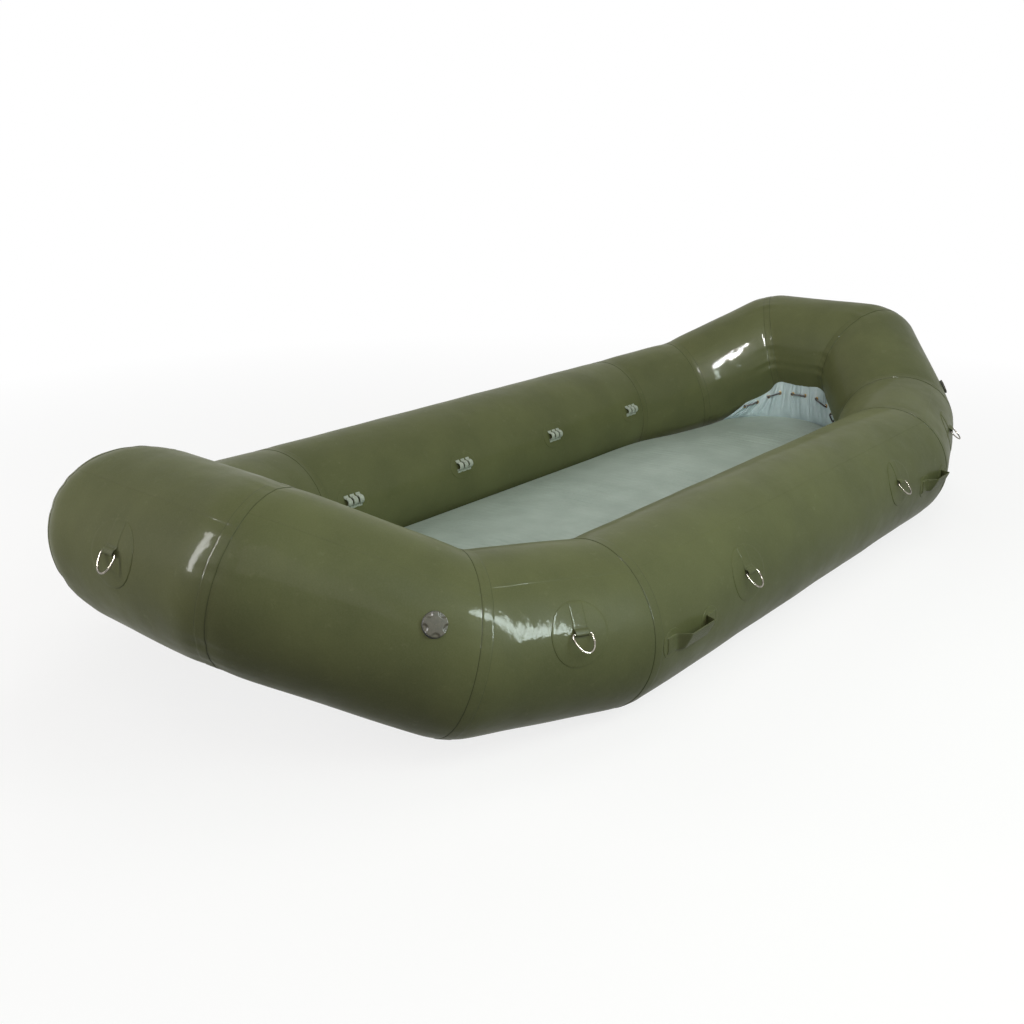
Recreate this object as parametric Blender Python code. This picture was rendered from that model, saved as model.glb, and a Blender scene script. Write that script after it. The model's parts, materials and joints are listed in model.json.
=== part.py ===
"""Whitewater raft: a ring of twelve mitred air tube sections with upswept ends, an inflated
self bailing floor laced in at both ends, D rings, carry handles, thwart loops and valves.

Metres, +Z up. X runs along the raft and Y across it. The origin is at the middle of the
footprint, and the side tubes rest on the plane z = 0.
"""
import math

import bmesh
import bpy
from mathutils import Matrix, Vector

# Tube ring. The seam nodes are where the centre lines of two sections meet.
TUBE_D = 0.510
SKIN = 0.002
SIDE_HALF = 1.069
BEAM_HALF = 0.737
SHOULDER_RUN = 0.463
SHOULDER_IN = 0.149
SHOULDER_RISE = 0.057
QUARTER_RUN = 0.375
QUARTER_IN = 0.336
QUARTER_RISE = 0.228
FACETS = 32
GAP = 0.0003

# Floor: an air mattress with round edges and a crowned top.
FLOOR_T = 0.130
FLOOR_LIFT = 0.025
FLOOR_CROWN = 0.034
FLOOR_SKIN = 0.0025
FLOOR_TIP_PAST_BEND = 0.168
FLOOR_ROCKER = 0.050
FLOOR_ROCKER_BEFORE_BEND = 0.069
FLOOR_EDGE_STEPS = 5
RELIEF_D = 0.060
RELIEF_H = 0.006
RELIEF_VENT_D = 0.006
RELIEF_PAST_BEND = 0.181
RELIEF_Y = -0.180

# Lacing curtain between the floor's end and the end tubes, with its holes and cord.
CURTAIN_T = 0.0016
CURTAIN_FOLD = 0.004
CURTAIN_FOLDS = 10
CURTAIN_TOP_ANGLE = 38.0
CURTAIN_HOLES = 10
HOLE_D = 0.013
CORD_D = 0.005

# D rings, hung from a webbing tab on a round patch.
RING_W = 0.070
RING_H = 0.060
RING_WIRE = 0.008
PATCH_D = 0.184
PATCH_T = 0.0015
TAB_W = 0.046
TAB_T = 0.003
TAB_L = 0.072
TAB_CLEAR = 0.0006
RING_HANG = 16.0
RING_ANGLE_SIDE = 18.0
RING_ANGLE_SHOULDER = 21.0
RING_ANGLE_END = 17.0
RING_X = 0.595
RING_SHOULDER_T = 0.52

# Carry handles: a stiff strap between two round pads.
HANDLE_TO_SEAM = 0.125
HANDLE_ANGLE = 1.0
HANDLE_SPAN = 0.170
HANDLE_RISE = 0.036
HANDLE_RAMP = 0.032
HANDLE_W = 0.050
HANDLE_T = 0.0035
PAD_D = 0.092

# Thwart loops: three bands over a lengthwise tunnel, on an oval patch.
LOOP_COUNT = 4
LOOP_TO_SEAM = 0.163
LOOP_ANGLE = 16.0
LOOP_BANDS = 3
BAND_W = 0.030
BAND_SPACE = 0.013
BAND_T = 0.005
TUNNEL_R = 0.018
LOOP_FOOT = 0.010
LOOP_SIDES = 5
LOOP_PATCH_L = 0.190
LOOP_PATCH_W = 0.130

# Inflation valves, one in each quarter section.
VALVE_T = 0.79
VALVE_ANGLE = 34.0
FLANGE_D = 0.074
FLANGE_T = 0.004
BARREL_D = 0.050
BARREL_L = 0.034
SOCKET_D = 0.042
SEAT_D = 0.024
SEAT_T = 0.004
CAP_D = 0.068
CAP_T = 0.012
CAP_PLUG = 0.009
CAP_NOTCHES = 5
NOTCH_D = 0.020
STEM_D = 0.010
POPPET_D = 0.034
POPPET_T = 0.003
FIT = 0.0004
TURN = 16

R = TUBE_D / 2
STEP = 2 * math.pi / FACETS
APOTHEM = R * math.cos(STEP / 2)

# Places that keep their distance from the seams at the ends of the side tubes.
FLOOR_TIP = SIDE_HALF + SHOULDER_RUN + FLOOR_TIP_PAST_BEND
FLOOR_ROCKER_FROM = SIDE_HALF - FLOOR_ROCKER_BEFORE_BEND
RELIEF_X = -SIDE_HALF - RELIEF_PAST_BEND
HANDLE_X = SIDE_HALF - HANDLE_TO_SEAM
LOOP_PITCH = 2 * (SIDE_HALF - LOOP_TO_SEAM) / (LOOP_COUNT - 1)


def clear_scene():
    for ob in list(bpy.data.objects):
        bpy.data.objects.remove(ob)
    for col in list(bpy.data.collections):
        bpy.data.collections.remove(col)


def collection(name):
    col = bpy.data.collections.new(name)
    bpy.context.scene.collection.children.link(col)
    return col


def material(name, color, roughness, metallic=0.0):
    mat = bpy.data.materials.new(name)
    mat.use_nodes = True
    bsdf = mat.node_tree.nodes["Principled BSDF"]
    bsdf.inputs["Base Color"].default_value = (*color, 1.0)
    bsdf.inputs["Roughness"].default_value = roughness
    bsdf.inputs["Metallic"].default_value = metallic
    return mat


clear_scene()
MAIN = collection("whitewater_raft")
GREEN = material("tube_green", (0.115, 0.140, 0.060), 0.28)
PATCH = material("patch_green", (0.105, 0.135, 0.058), 0.32)
FLOOR_GREY = material("floor_grey", (0.300, 0.330, 0.270), 0.55)
BLUE = material("curtain_blue", (0.360, 0.450, 0.470), 0.70)
BLACK = material("cord_black", (0.012, 0.012, 0.014), 0.60)
STEEL = material("stainless", (0.620, 0.620, 0.600), 0.18, 1.0)
LOOP_GREY = material("loop_grey", (0.430, 0.450, 0.400), 0.55)
CAP_GREY = material("cap_grey", (0.230, 0.230, 0.210), 0.50)
VALVE_DARK = material("valve_dark", (0.050, 0.055, 0.045), 0.50)


def frame(origin, x_axis, z_axis):
    """Right handed matrix with the given origin, x along x_axis and z close to z_axis."""
    x = x_axis.normalized()
    z = (z_axis - x * z_axis.dot(x)).normalized()
    y = z.cross(x)
    rot = Matrix((x, y, z)).transposed().to_4x4()
    return Matrix.Translation(origin) @ rot


def outward(bm):
    """Point every face of a closed bmesh out of the solid."""
    bmesh.ops.recalc_face_normals(bm, faces=bm.faces)
    if bm.calc_volume(signed=True) < 0:
        bmesh.ops.reverse_faces(bm, faces=bm.faces)


def emit(name, bm, mat, matrix):
    """Turn a bmesh in world coordinates into a placed, smooth shaded object."""
    bm.transform(matrix.inverted())
    outward(bm)
    mesh = bpy.data.meshes.new(name)
    bm.to_mesh(mesh)
    bm.free()
    mesh.materials.append(mat)
    mesh.shade_smooth()
    mesh.set_sharp_from_angle(angle=math.radians(35))
    ob = bpy.data.objects.new(name, mesh)
    MAIN.objects.link(ob)
    ob.matrix_world = matrix
    return ob


def boolean(bm_a, bm_b, operation):
    """Combine two closed bmeshes and return the result; both inputs are freed."""
    pair = []
    for bm in (bm_a, bm_b):
        outward(bm)
        mesh = bpy.data.meshes.new("work")
        bm.to_mesh(mesh)
        bm.free()
        ob = bpy.data.objects.new("work", mesh)
        MAIN.objects.link(ob)
        pair.append(ob)
    mod = pair[0].modifiers.new("combine", "BOOLEAN")
    mod.operation = operation
    mod.object = pair[1]
    graph = bpy.context.evaluated_depsgraph_get()
    mesh = bpy.data.meshes.new_from_object(pair[0].evaluated_get(graph))
    out = bmesh.new()
    out.from_mesh(mesh)
    for ob in pair:
        bpy.data.objects.remove(ob)
    return out


# Tube sections


class Section:
    """One straight tube section: a start, an end and a level cross frame."""

    def __init__(self, start, end, outward, facet_out):
        self.a = start
        self.b = end
        self.d = (end - start).normalized()
        self.length = (end - start).length
        self.out = self.d.cross(Vector((0, 0, 1))).normalized()
        if self.out.dot(outward) < 0:
            self.out = -self.out
        self.up = Vector((0, 0, 1)) - self.d * self.d.z
        self.up.normalize()
        self.phase = math.atan2(facet_out.dot(self.up), facet_out.dot(self.out))

    def radial(self, angle):
        return self.out * math.cos(angle) + self.up * math.sin(angle)

    def facet(self, angle):
        return self.phase + round((angle - self.phase) / STEP) * STEP

    def at(self, s, angle, height):
        """Point s along the section, at an angle above level outward, height off the skin."""
        reach = (APOTHEM + height) / math.cos(angle - self.facet(angle))
        return self.a + self.d * s + self.radial(angle) * reach


def mirrored(v, sx, sy):
    return Vector((v.x * sx, v.y * sy, v.z))


NODE1 = Vector((SIDE_HALF, BEAM_HALF, APOTHEM))
NODE2 = NODE1 + Vector((SHOULDER_RUN, -SHOULDER_IN, SHOULDER_RISE))
NODE3 = NODE2 + Vector((QUARTER_RUN, -QUARTER_IN, QUARTER_RISE))


def carry(vector, d_from, d_to):
    """Carry a cross frame vector round a mitre, so that the facets of both sections meet."""
    return d_from.rotation_difference(d_to) @ vector


def build_sections():
    """All twelve sections, keyed by kind, x sign and y sign."""
    d_side = Vector((1, 0, 0))
    d_shoulder = (NODE2 - NODE1).normalized()
    d_quarter = (NODE3 - NODE2).normalized()
    d_end = Vector((0, -1, 0))
    f_side = Vector((0, 1, 0))
    f_shoulder = carry(f_side, d_side, d_shoulder)
    f_quarter = carry(f_shoulder, d_shoulder, d_quarter)
    f_end = carry(f_quarter, d_quarter, d_end)
    out = {}
    for sy in (1, -1):
        a = mirrored(NODE1, -1, sy)
        b = mirrored(NODE1, 1, sy)
        out["side", 0, sy] = Section(a, b, Vector((0, sy, 0)), mirrored(f_side, 1, sy))
    for sx in (1, -1):
        a = mirrored(NODE3, sx, 1)
        b = mirrored(NODE3, sx, -1)
        out["end", sx, 0] = Section(a, b, Vector((sx, 0, 0)), mirrored(f_end, sx, 1))
        for sy in (1, -1):
            n1 = mirrored(NODE1, sx, sy)
            n2 = mirrored(NODE2, sx, sy)
            n3 = mirrored(NODE3, sx, sy)
            away = Vector((sx, sy, 0))
            out["shoulder", sx, sy] = Section(n1, n2, away, mirrored(f_shoulder, sx, sy))
            out["quarter", sx, sy] = Section(n2, n3, away, mirrored(f_quarter, sx, sy))
    return out


SECTIONS = build_sections()


def mitre(section, node, neighbour_d):
    """Unit normal of the mitre plane at a node, pointing out of this section."""
    d = section.d if (node - section.b).length < (node - section.a).length else -section.d
    if neighbour_d.dot(d) < 0:
        neighbour_d = -neighbour_d
    return (d + neighbour_d).normalized()


def loft(rings, close=False):
    """Join rings of points, each a closed loop of the same count, into one surface."""
    bm = bmesh.new()
    loops = [[bm.verts.new(p) for p in ring] for ring in rings]
    pairs = list(zip(loops, loops[1:]))
    if close:
        pairs.append((loops[-1], loops[0]))
    for low, high in pairs:
        for i in range(len(low)):
            j = (i + 1) % len(low)
            bm.faces.new((low[i], low[j], high[j], high[i]))
    return bm


def tube_section(section, ends):
    """A hollow section between its two mitre planes; ends lists (node, neighbour direction)."""
    planes = []
    for node, neighbour_d in ends:
        normal = mitre(section, node, neighbour_d)
        planes.append((node - normal * (GAP / 2), normal))

    def rim(radius, plane):
        point, normal = plane
        ring = []
        for k in range(FACETS):
            start = section.a + section.radial(section.phase + (k + 0.5) * STEP) * radius
            travel = (point - start).dot(normal) / section.d.dot(normal)
            ring.append(start + section.d * travel)
        return ring

    near, far = planes
    return loft([rim(R, near), rim(R, far), rim(R - SKIN, far), rim(R - SKIN, near)], close=True)


def disc(radius, low, high, segments=32):
    """A flat closed disc about the Z axis between two heights."""
    bm = bmesh.new()
    shift = Matrix.Translation((0, 0, (low + high) / 2))
    bmesh.ops.create_cone(bm, cap_ends=True, segments=segments, radius1=radius, radius2=radius,
                          depth=high - low, matrix=shift)
    return bm


def valve_place(sx, sy):
    """Section, distance along it and facet angle of the valve in one quarter."""
    section = SECTIONS["quarter", sx, sy]
    s = section.length * (1 - VALVE_T)
    return section, s, section.facet(math.radians(VALVE_ANGLE))


def valve_matrix(sx, sy):
    section, s, angle = valve_place(sx, sy)
    return frame(section.at(s, angle, GAP), section.d, section.radial(angle))


def side_word(sy):
    return "port" if sy > 0 else "starboard"


def end_word(sx):
    return "bow" if sx > 0 else "stern"


def make_tubes():
    d_side = Vector((1, 0, 0))
    for sy in (1, -1):
        section = SECTIONS["side", 0, sy]
        ends = []
        for sx in (-1, 1):
            ends.append((mirrored(NODE1, sx, sy), SECTIONS["shoulder", sx, sy].d))
        bm = tube_section(section, ends)
        mid = (section.a + section.b) / 2
        emit("side_tube_" + side_word(sy), bm, GREEN, frame(mid, section.d, section.up))
    for sx in (1, -1):
        section = SECTIONS["end", sx, 0]
        ends = []
        for sy in (1, -1):
            ends.append((mirrored(NODE3, sx, sy), SECTIONS["quarter", sx, sy].d))
        bm = tube_section(section, ends)
        mid = (section.a + section.b) / 2
        emit("end_tube_" + end_word(sx), bm, GREEN, frame(mid, section.d, section.up))
        for sy in (1, -1):
            tail = "_" + end_word(sx) + "_" + side_word(sy)
            shoulder = SECTIONS["shoulder", sx, sy]
            quarter = SECTIONS["quarter", sx, sy]
            n1 = mirrored(NODE1, sx, sy)
            n2 = mirrored(NODE2, sx, sy)
            n3 = mirrored(NODE3, sx, sy)
            bm = tube_section(shoulder, [(n1, d_side), (n2, quarter.d)])
            mid = (shoulder.a + shoulder.b) / 2
            emit("shoulder_tube" + tail, bm, GREEN, frame(mid, shoulder.d, shoulder.up))
            bm = tube_section(quarter, [(n2, shoulder.d), (n3, section.d)])
            hole = disc(BARREL_D / 2 + FIT, -0.02, 0.02, TURN)
            hole.transform(valve_matrix(sx, sy))
            bm = boolean(bm, hole, "DIFFERENCE")
            mid = (quarter.a + quarter.b) / 2
            emit("quarter_tube" + tail, bm, GREEN, frame(mid, quarter.d, quarter.up))


# Glued fittings


def extruded(outlines, depth):
    """A flat outline, with any holes, extruded to a closed bmesh centred on z = 0."""
    curve = bpy.data.curves.new("work", "CURVE")
    curve.dimensions = "2D"
    curve.fill_mode = "BOTH"
    curve.extrude = depth / 2
    for outline in outlines:
        spline = curve.splines.new("POLY")
        spline.points.add(len(outline) - 1)
        for point, (x, y) in zip(spline.points, outline):
            point.co = (x, y, 0, 1)
        spline.use_cyclic_u = True
    ob = bpy.data.objects.new("work", curve)
    MAIN.objects.link(ob)
    graph = bpy.context.evaluated_depsgraph_get()
    mesh = bpy.data.meshes.new_from_object(ob.evaluated_get(graph))
    bm = bmesh.new()
    bm.from_mesh(mesh)
    bmesh.ops.remove_doubles(bm, verts=bm.verts, dist=0.00001)
    bpy.data.objects.remove(ob)
    return bm


def arc(cx, cy, radius, start, stop, count):
    """Points on a circle from start to stop, in degrees."""
    points = []
    for i in range(count):
        a = math.radians(start + (stop - start) * i / (count - 1))
        points.append((cx + radius * math.cos(a), cy + radius * math.sin(a)))
    return points


def circle(cx, cy, radius, count):
    return arc(cx, cy, radius, 0, 360 - 360 / count, count)


# A profile drawn in x and y, turned to run across the tube (y) and off the skin (z).
ACROSS = Matrix(((0, 0, 1, 0), (1, 0, 0, 0), (0, 1, 0, 0), (0, 0, 0, 1)))
# The same, turned to run along the tube (x) and off the skin (z).
ALONG = Matrix(((1, 0, 0, 0), (0, 0, -1, 0), (0, 1, 0, 0), (0, 0, 0, 1)))


def wrap(flat, section, s, angle):
    """Lay a flat fitting (x along, y round, z off the skin) on the facets of a section."""
    bm = flat.copy()
    half = max(abs(v.co.y) for v in bm.verts) / R
    k = math.ceil((angle - half - section.phase) / STEP - 0.5)
    while section.phase + (k + 0.5) * STEP < angle + half:
        y = (section.phase + (k + 0.5) * STEP - angle) * R
        everything = bm.verts[:] + bm.edges[:] + bm.faces[:]
        bmesh.ops.bisect_plane(bm, geom=everything, plane_co=(0, y, 0), plane_no=(0, 1, 0))
        k += 1
    for v in bm.verts:
        v.co = section.at(s + v.co.x, angle + v.co.y / R, GAP + v.co.z)
    return bm


def fitting_matrix(section, s, angle, height):
    """Frame on the skin: x along the section, z off the skin and y round it, upwards outside."""
    z = section.radial(angle)
    x = section.d
    if z.cross(x).dot(section.up) * math.cos(angle) < 0:
        x = -x
    return frame(section.at(s, angle, height), x, z)


BAR_H = PATCH_T + TAB_T + TAB_CLEAR + RING_WIRE / 2 - GAP


def flat_ring_patch():
    """Round patch with a webbing tab whose end loops round the ring's bar."""
    eye = RING_WIRE / 2 + TAB_CLEAR
    outline = arc(0, BAR_H, eye + TAB_T, 50, 270, 9)
    outline += [(TAB_L, PATCH_T - GAP), (TAB_L, PATCH_T + TAB_T / 2)]
    outline += [(4 * eye, PATCH_T + TAB_T)]
    tab = extruded([outline, circle(0, BAR_H, eye, 12)], TAB_W)
    tab.transform(ACROSS)
    return boolean(disc(PATCH_D / 2, 0, PATCH_T, 24), tab, "UNION")


def ring_path():
    """Centre line of the D: a straight bar, then a rounded V."""
    half = (RING_W - RING_WIRE) / 2
    drop = RING_H - RING_WIRE
    bar = half - RING_WIRE * 0.6
    path = [(-bar, 0), (bar, 0)]
    for i in range(9):
        a = math.pi * (0.035 + 0.93 * i / 8)
        path.append((half * math.cos(a), -drop * math.sin(a) ** 0.85))
    return path


def make_ring(name, section, s, angle):
    """A D ring, its origin on the bar, leaning off the tube by RING_HANG degrees."""
    curve = bpy.data.curves.new(name, "CURVE")
    curve.dimensions = "3D"
    curve.bevel_depth = RING_WIRE / 2
    curve.bevel_resolution = 2
    spline = curve.splines.new("POLY")
    path = ring_path()
    spline.points.add(len(path) - 1)
    for point, (x, y) in zip(spline.points, path):
        point.co = (x, y, 0, 1)
    spline.use_cyclic_u = True
    spline.use_smooth = True
    curve.materials.append(STEEL)
    ob = bpy.data.objects.new(name, curve)
    MAIN.objects.link(ob)
    lean = Matrix.Rotation(math.radians(-RING_HANG), 4, "X")
    ob.matrix_world = fitting_matrix(section, s, angle, GAP + BAR_H) @ lean


def ring_places():
    places = []
    for sy in (1, -1):
        section = SECTIONS["side", 0, sy]
        for sx in (1, -1):
            s = section.length / 2 + sx * RING_X
            tail = "side_" + end_word(sx) + "_" + side_word(sy)
            places.append((tail, section, s, math.radians(RING_ANGLE_SIDE)))
    for sx in (1, -1):
        section = SECTIONS["end", sx, 0]
        places.append((end_word(sx), section, section.length / 2, math.radians(RING_ANGLE_END)))
        for sy in (1, -1):
            section = SECTIONS["shoulder", sx, sy]
            tail = "shoulder_" + end_word(sx) + "_" + side_word(sy)
            s = section.length * (1 - RING_SHOULDER_T)
            places.append((tail, section, s, math.radians(RING_ANGLE_SHOULDER)))
    return places


def make_rings():
    flat = flat_ring_patch()
    for tail, section, s, angle in ring_places():
        bm = wrap(flat, section, s, angle)
        emit("ring_patch_" + tail, bm, PATCH, fitting_matrix(section, s, angle, GAP))
        make_ring("d_ring_" + tail, section, s, angle)
    flat.free()


def flat_handle():
    """Two round pads joined by a stiff strap that stands off between them."""
    grip = HANDLE_SPAN / 2
    foot = grip + HANDLE_RAMP
    end = foot + PAD_D * 0.55
    base = PATCH_T - GAP
    low = PATCH_T + HANDLE_RISE
    top = low + HANDLE_T
    side = [(end, base), (end, PATCH_T + HANDLE_T), (foot, PATCH_T + HANDLE_T)]
    side += [(grip + HANDLE_T * 0.7, top - HANDLE_T * 0.3), (grip - HANDLE_T, top)]
    under = [(foot - HANDLE_T * 1.2, base), (grip - HANDLE_T * 0.7, low - HANDLE_T * 0.3)]
    under += [(grip - HANDLE_T * 2, low)]
    outline = side + [(-x, y) for x, y in reversed(side)]
    outline += [(-x, y) for x, y in under]
    outline += [(x, y) for x, y in reversed(under)]
    bm = extruded([outline], HANDLE_W)
    bm.transform(ALONG)
    for sign in (1, -1):
        pad = disc(PAD_D / 2, 0, PATCH_T, 18)
        pad.transform(Matrix.Translation((sign * (foot + PAD_D * 0.22), 0, 0)))
        bm = boolean(bm, pad, "UNION")
    return bm


def make_handles():
    flat = flat_handle()
    for sy in (1, -1):
        section = SECTIONS["side", 0, sy]
        for sx in (1, -1):
            s = section.length / 2 + sx * HANDLE_X
            angle = math.radians(HANDLE_ANGLE)
            bm = wrap(flat, section, s, angle)
            name = "carry_handle_" + end_word(sx) + "_" + side_word(sy)
            emit(name, bm, PATCH, fitting_matrix(section, s, angle, GAP))
    flat.free()


def flat_loop():
    """An oval patch with bands arching over a lengthwise tunnel."""
    base = PATCH_T - GAP
    outer = TUNNEL_R + BAND_T
    foot = outer + LOOP_FOOT
    bm = disc(0.5, 0, PATCH_T, 20)
    bm.transform(Matrix.Diagonal((LOOP_PATCH_L, LOOP_PATCH_W, 1, 1)))
    outline = [(foot, base), (foot, PATCH_T + BAND_T / 2)]
    outline += [(outer, PATCH_T + BAND_T)]
    outline += arc(0, PATCH_T + BAND_T, outer, 15, 165, LOOP_SIDES)
    outline += [(-outer, PATCH_T + BAND_T), (-foot, PATCH_T + BAND_T / 2), (-foot, base)]
    tunnel = [(-TUNNEL_R, PATCH_T + GAP), (TUNNEL_R, PATCH_T + GAP)]
    tunnel += arc(0, PATCH_T + BAND_T, TUNNEL_R, 15, 165, LOOP_SIDES)
    for i in range(LOOP_BANDS):
        band = extruded([outline, tunnel], BAND_W)
        band.transform(ACROSS)
        x = (i - (LOOP_BANDS - 1) / 2) * (BAND_W + BAND_SPACE)
        band.transform(Matrix.Translation((x, 0, 0)))
        bm = boolean(bm, band, "UNION")
    return bm


def make_loops():
    flat = flat_loop()
    for sy in (1, -1):
        section = SECTIONS["side", 0, sy]
        for i in range(LOOP_COUNT):
            s = section.length / 2 + (i - (LOOP_COUNT - 1) / 2) * LOOP_PITCH
            angle = math.pi - math.radians(LOOP_ANGLE)
            bm = wrap(flat, section, s, angle)
            name = "thwart_loop_" + side_word(sy) + "_" + str(i + 1)
            emit(name, bm, LOOP_GREY, fitting_matrix(section, s, angle, GAP))
    flat.free()


# Inflation valves


def turned(profile, segments, ring=False):
    """Revolve (radius, z) points about Z: a ring when closed, else capped at both ends."""
    rings = []
    for radius, z in profile:
        loop = []
        for k in range(segments):
            a = 2 * math.pi * k / segments
            loop.append(Vector((radius * math.cos(a), radius * math.sin(a), z)))
        rings.append(loop)
    bm = loft(rings, close=ring)
    if not ring:
        bm.verts.ensure_lookup_table()
        bm.faces.new(bm.verts[:segments])
        bm.faces.new(bm.verts[-segments:])
    return bm


def flat_valve_body():
    """Flange on the skin, and a barrel through it that ends in the valve seat."""
    seat = -BARREL_L + SEAT_T
    profile = [(FLANGE_D / 2, 0), (FLANGE_D / 2, FLANGE_T), (SOCKET_D / 2, FLANGE_T)]
    profile += [(SOCKET_D / 2, seat), (SEAT_D / 2, seat), (SEAT_D / 2, -BARREL_L)]
    profile += [(BARREL_D / 2, -BARREL_L), (BARREL_D / 2, 0)]
    return turned(profile, TURN, ring=True)


def flat_cap():
    """Screw cap with a plug in the socket and finger notches round the rim."""
    low = FLANGE_T + GAP
    plug = SOCKET_D / 2 - FIT
    top = low + CAP_T
    profile = [(plug, low - CAP_PLUG), (plug, low), (CAP_D / 2, low)]
    profile += [(CAP_D / 2, top - CAP_T / 4), (CAP_D / 2 - CAP_T / 4, top)]
    bm = turned(profile, TURN)
    for i in range(CAP_NOTCHES):
        a = 2 * math.pi * (i + 0.5) / CAP_NOTCHES
        cut = disc(NOTCH_D / 2, low + CAP_T * 0.35, top + CAP_T, 12)
        reach = CAP_D / 2 + NOTCH_D * 0.18
        cut.transform(Matrix.Translation((reach * math.cos(a), reach * math.sin(a), 0)))
        bm = boolean(bm, cut, "DIFFERENCE")
    return bm


def flat_plunger():
    """Spring loaded valve: a poppet under the seat on a stem with a push button."""
    top = FLANGE_T - CAP_PLUG - 4 * FIT
    under = -BARREL_L - GAP
    profile = [(POPPET_D / 2, under - POPPET_T), (POPPET_D / 2, under), (STEM_D / 2, under)]
    profile += [(STEM_D / 2, top - STEM_D / 2), (STEM_D * 0.8, top - STEM_D * 0.3)]
    profile += [(STEM_D * 0.8, top)]
    return turned(profile, 12)


def make_valves():
    parts = [("valve_body_", flat_valve_body(), VALVE_DARK)]
    parts.append(("valve_cap_", flat_cap(), CAP_GREY))
    parts.append(("valve_plunger_", flat_plunger(), CAP_GREY))
    for sx in (1, -1):
        for sy in (1, -1):
            matrix = valve_matrix(sx, sy)
            for name, flat, mat in parts:
                bm = flat.copy()
                bm.transform(matrix)
                emit(name + end_word(sx) + "_" + side_word(sy), bm, mat, matrix)
    for name, flat, mat in parts:
        flat.free()


# Floor

EDGE_R = FLOOR_T / 2
EDGE_Z = FLOOR_LIFT + EDGE_R


def rocker(x):
    """How far the floor has risen at x, following the upswept ends."""
    span = FLOOR_TIP - FLOOR_ROCKER_FROM
    return FLOOR_ROCKER * max(0.0, (abs(x) - FLOOR_ROCKER_FROM) / span) ** 2


def tube_reach(node):
    """Level distance from a tube's centre line at a node to the floor's edge centre."""
    return math.sqrt((R + EDGE_R + GAP) ** 2 - (node.z - EDGE_Z - rocker(node.x)) ** 2)


def edge_quarter():
    """Centre line of the floor's round edge, from mid side to the tip, for +X and +Y."""
    y_side = BEAM_HALF - tube_reach(NODE1)
    slope = Vector((SHOULDER_RUN, -SHOULDER_IN)).normalized()
    inward = Vector((slope.y, -slope.x))
    start = NODE1.xy + inward * tube_reach(NODE1)
    x_corner = start.x + (start.y - y_side) * slope.x / -slope.y
    last = NODE2.xy + inward * (tube_reach(NODE2) + EDGE_R * 0.35)
    points = [Vector((0, y_side)), Vector((x_corner * 0.5, y_side))]
    points.append(Vector((x_corner * 0.92, y_side - EDGE_R * 0.02)))
    points.append(points[-1].lerp(last, 0.5) + Vector((0, EDGE_R * 0.06)))
    tip = FLOOR_TIP
    for i in range(6):
        a = math.pi / 2 * i / 5
        x = last.x + (tip - last.x) * math.sin(a)
        y = last.y * math.cos(a) ** 1.15 if i < 5 else 0.0
        points.append(Vector((x, y)))
    return points


def edge_loop():
    """The whole centre line with its outward normals, in order round the floor."""
    quarter = edge_quarter()
    loop = list(quarter)
    loop += [Vector((p.x, -p.y)) for p in reversed(quarter[:-1])]
    loop += [Vector((-p.x, -p.y)) for p in quarter[1:]]
    loop += [Vector((-p.x, p.y)) for p in reversed(quarter[1:-1])]
    normals = []
    for i in range(len(loop)):
        along = (loop[(i + 1) % len(loop)] - loop[i - 1]).normalized()
        normals.append(Vector((-along.y, along.x)))
    return loop, normals


EDGE, EDGE_N = edge_loop()


def crown(x, y):
    """Height of the inflated top over its edge."""
    across = abs(y) / EDGE[0].y
    along = abs(x) / FLOOR_TIP
    return FLOOR_CROWN * max(0.0, 1 - across ** 2) * max(0.0, 1 - along ** 6)


def edge_out(i, lift, off):
    """Point on the floor's round edge, at an angle above level and a height off its skin."""
    i = i % len(EDGE)
    reach = EDGE_R + off
    q = EDGE[i] + EDGE_N[i] * reach * math.cos(math.radians(lift))
    z = EDGE_Z + rocker(EDGE[i].x) + reach * math.sin(math.radians(lift))
    return Vector((q.x, q.y, z))


def floor_shell(skin):
    """Closed floor surface, drawn in by the given skin thickness."""
    radius = EDGE_R - skin
    rings = []
    for t in (1.0, 0.5):
        ring = []
        for p in EDGE:
            middle = Vector((max(-FLOOR_TIP * 0.8, min(FLOOR_TIP * 0.8, p.x)), 0))
            q = p.lerp(middle, t)
            ring.append(Vector((q.x, q.y, EDGE_Z - radius + rocker(q.x))))
        rings.append(ring)
    for i in range(FLOOR_EDGE_STEPS + 1):
        a = math.pi * (i / FLOOR_EDGE_STEPS - 0.5)
        ring = []
        for p, n in zip(EDGE, EDGE_N):
            q = p + n * radius * math.cos(a)
            ring.append(Vector((q.x, q.y, EDGE_Z + rocker(p.x) + radius * math.sin(a))))
        rings.append(ring)
    for t in (0.3, 0.65, 1.0):
        ring = []
        for p in EDGE:
            middle = Vector((max(-FLOOR_TIP * 0.8, min(FLOOR_TIP * 0.8, p.x)), 0))
            q = p.lerp(middle, t)
            rise = rocker(q.x) + crown(q.x, q.y)
            ring.append(Vector((q.x, q.y, EDGE_Z + radius + rise)))
        rings.append(ring)
    bm = loft(rings)
    bmesh.ops.remove_doubles(bm, verts=bm.verts, dist=0.00001)
    return bm


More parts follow.
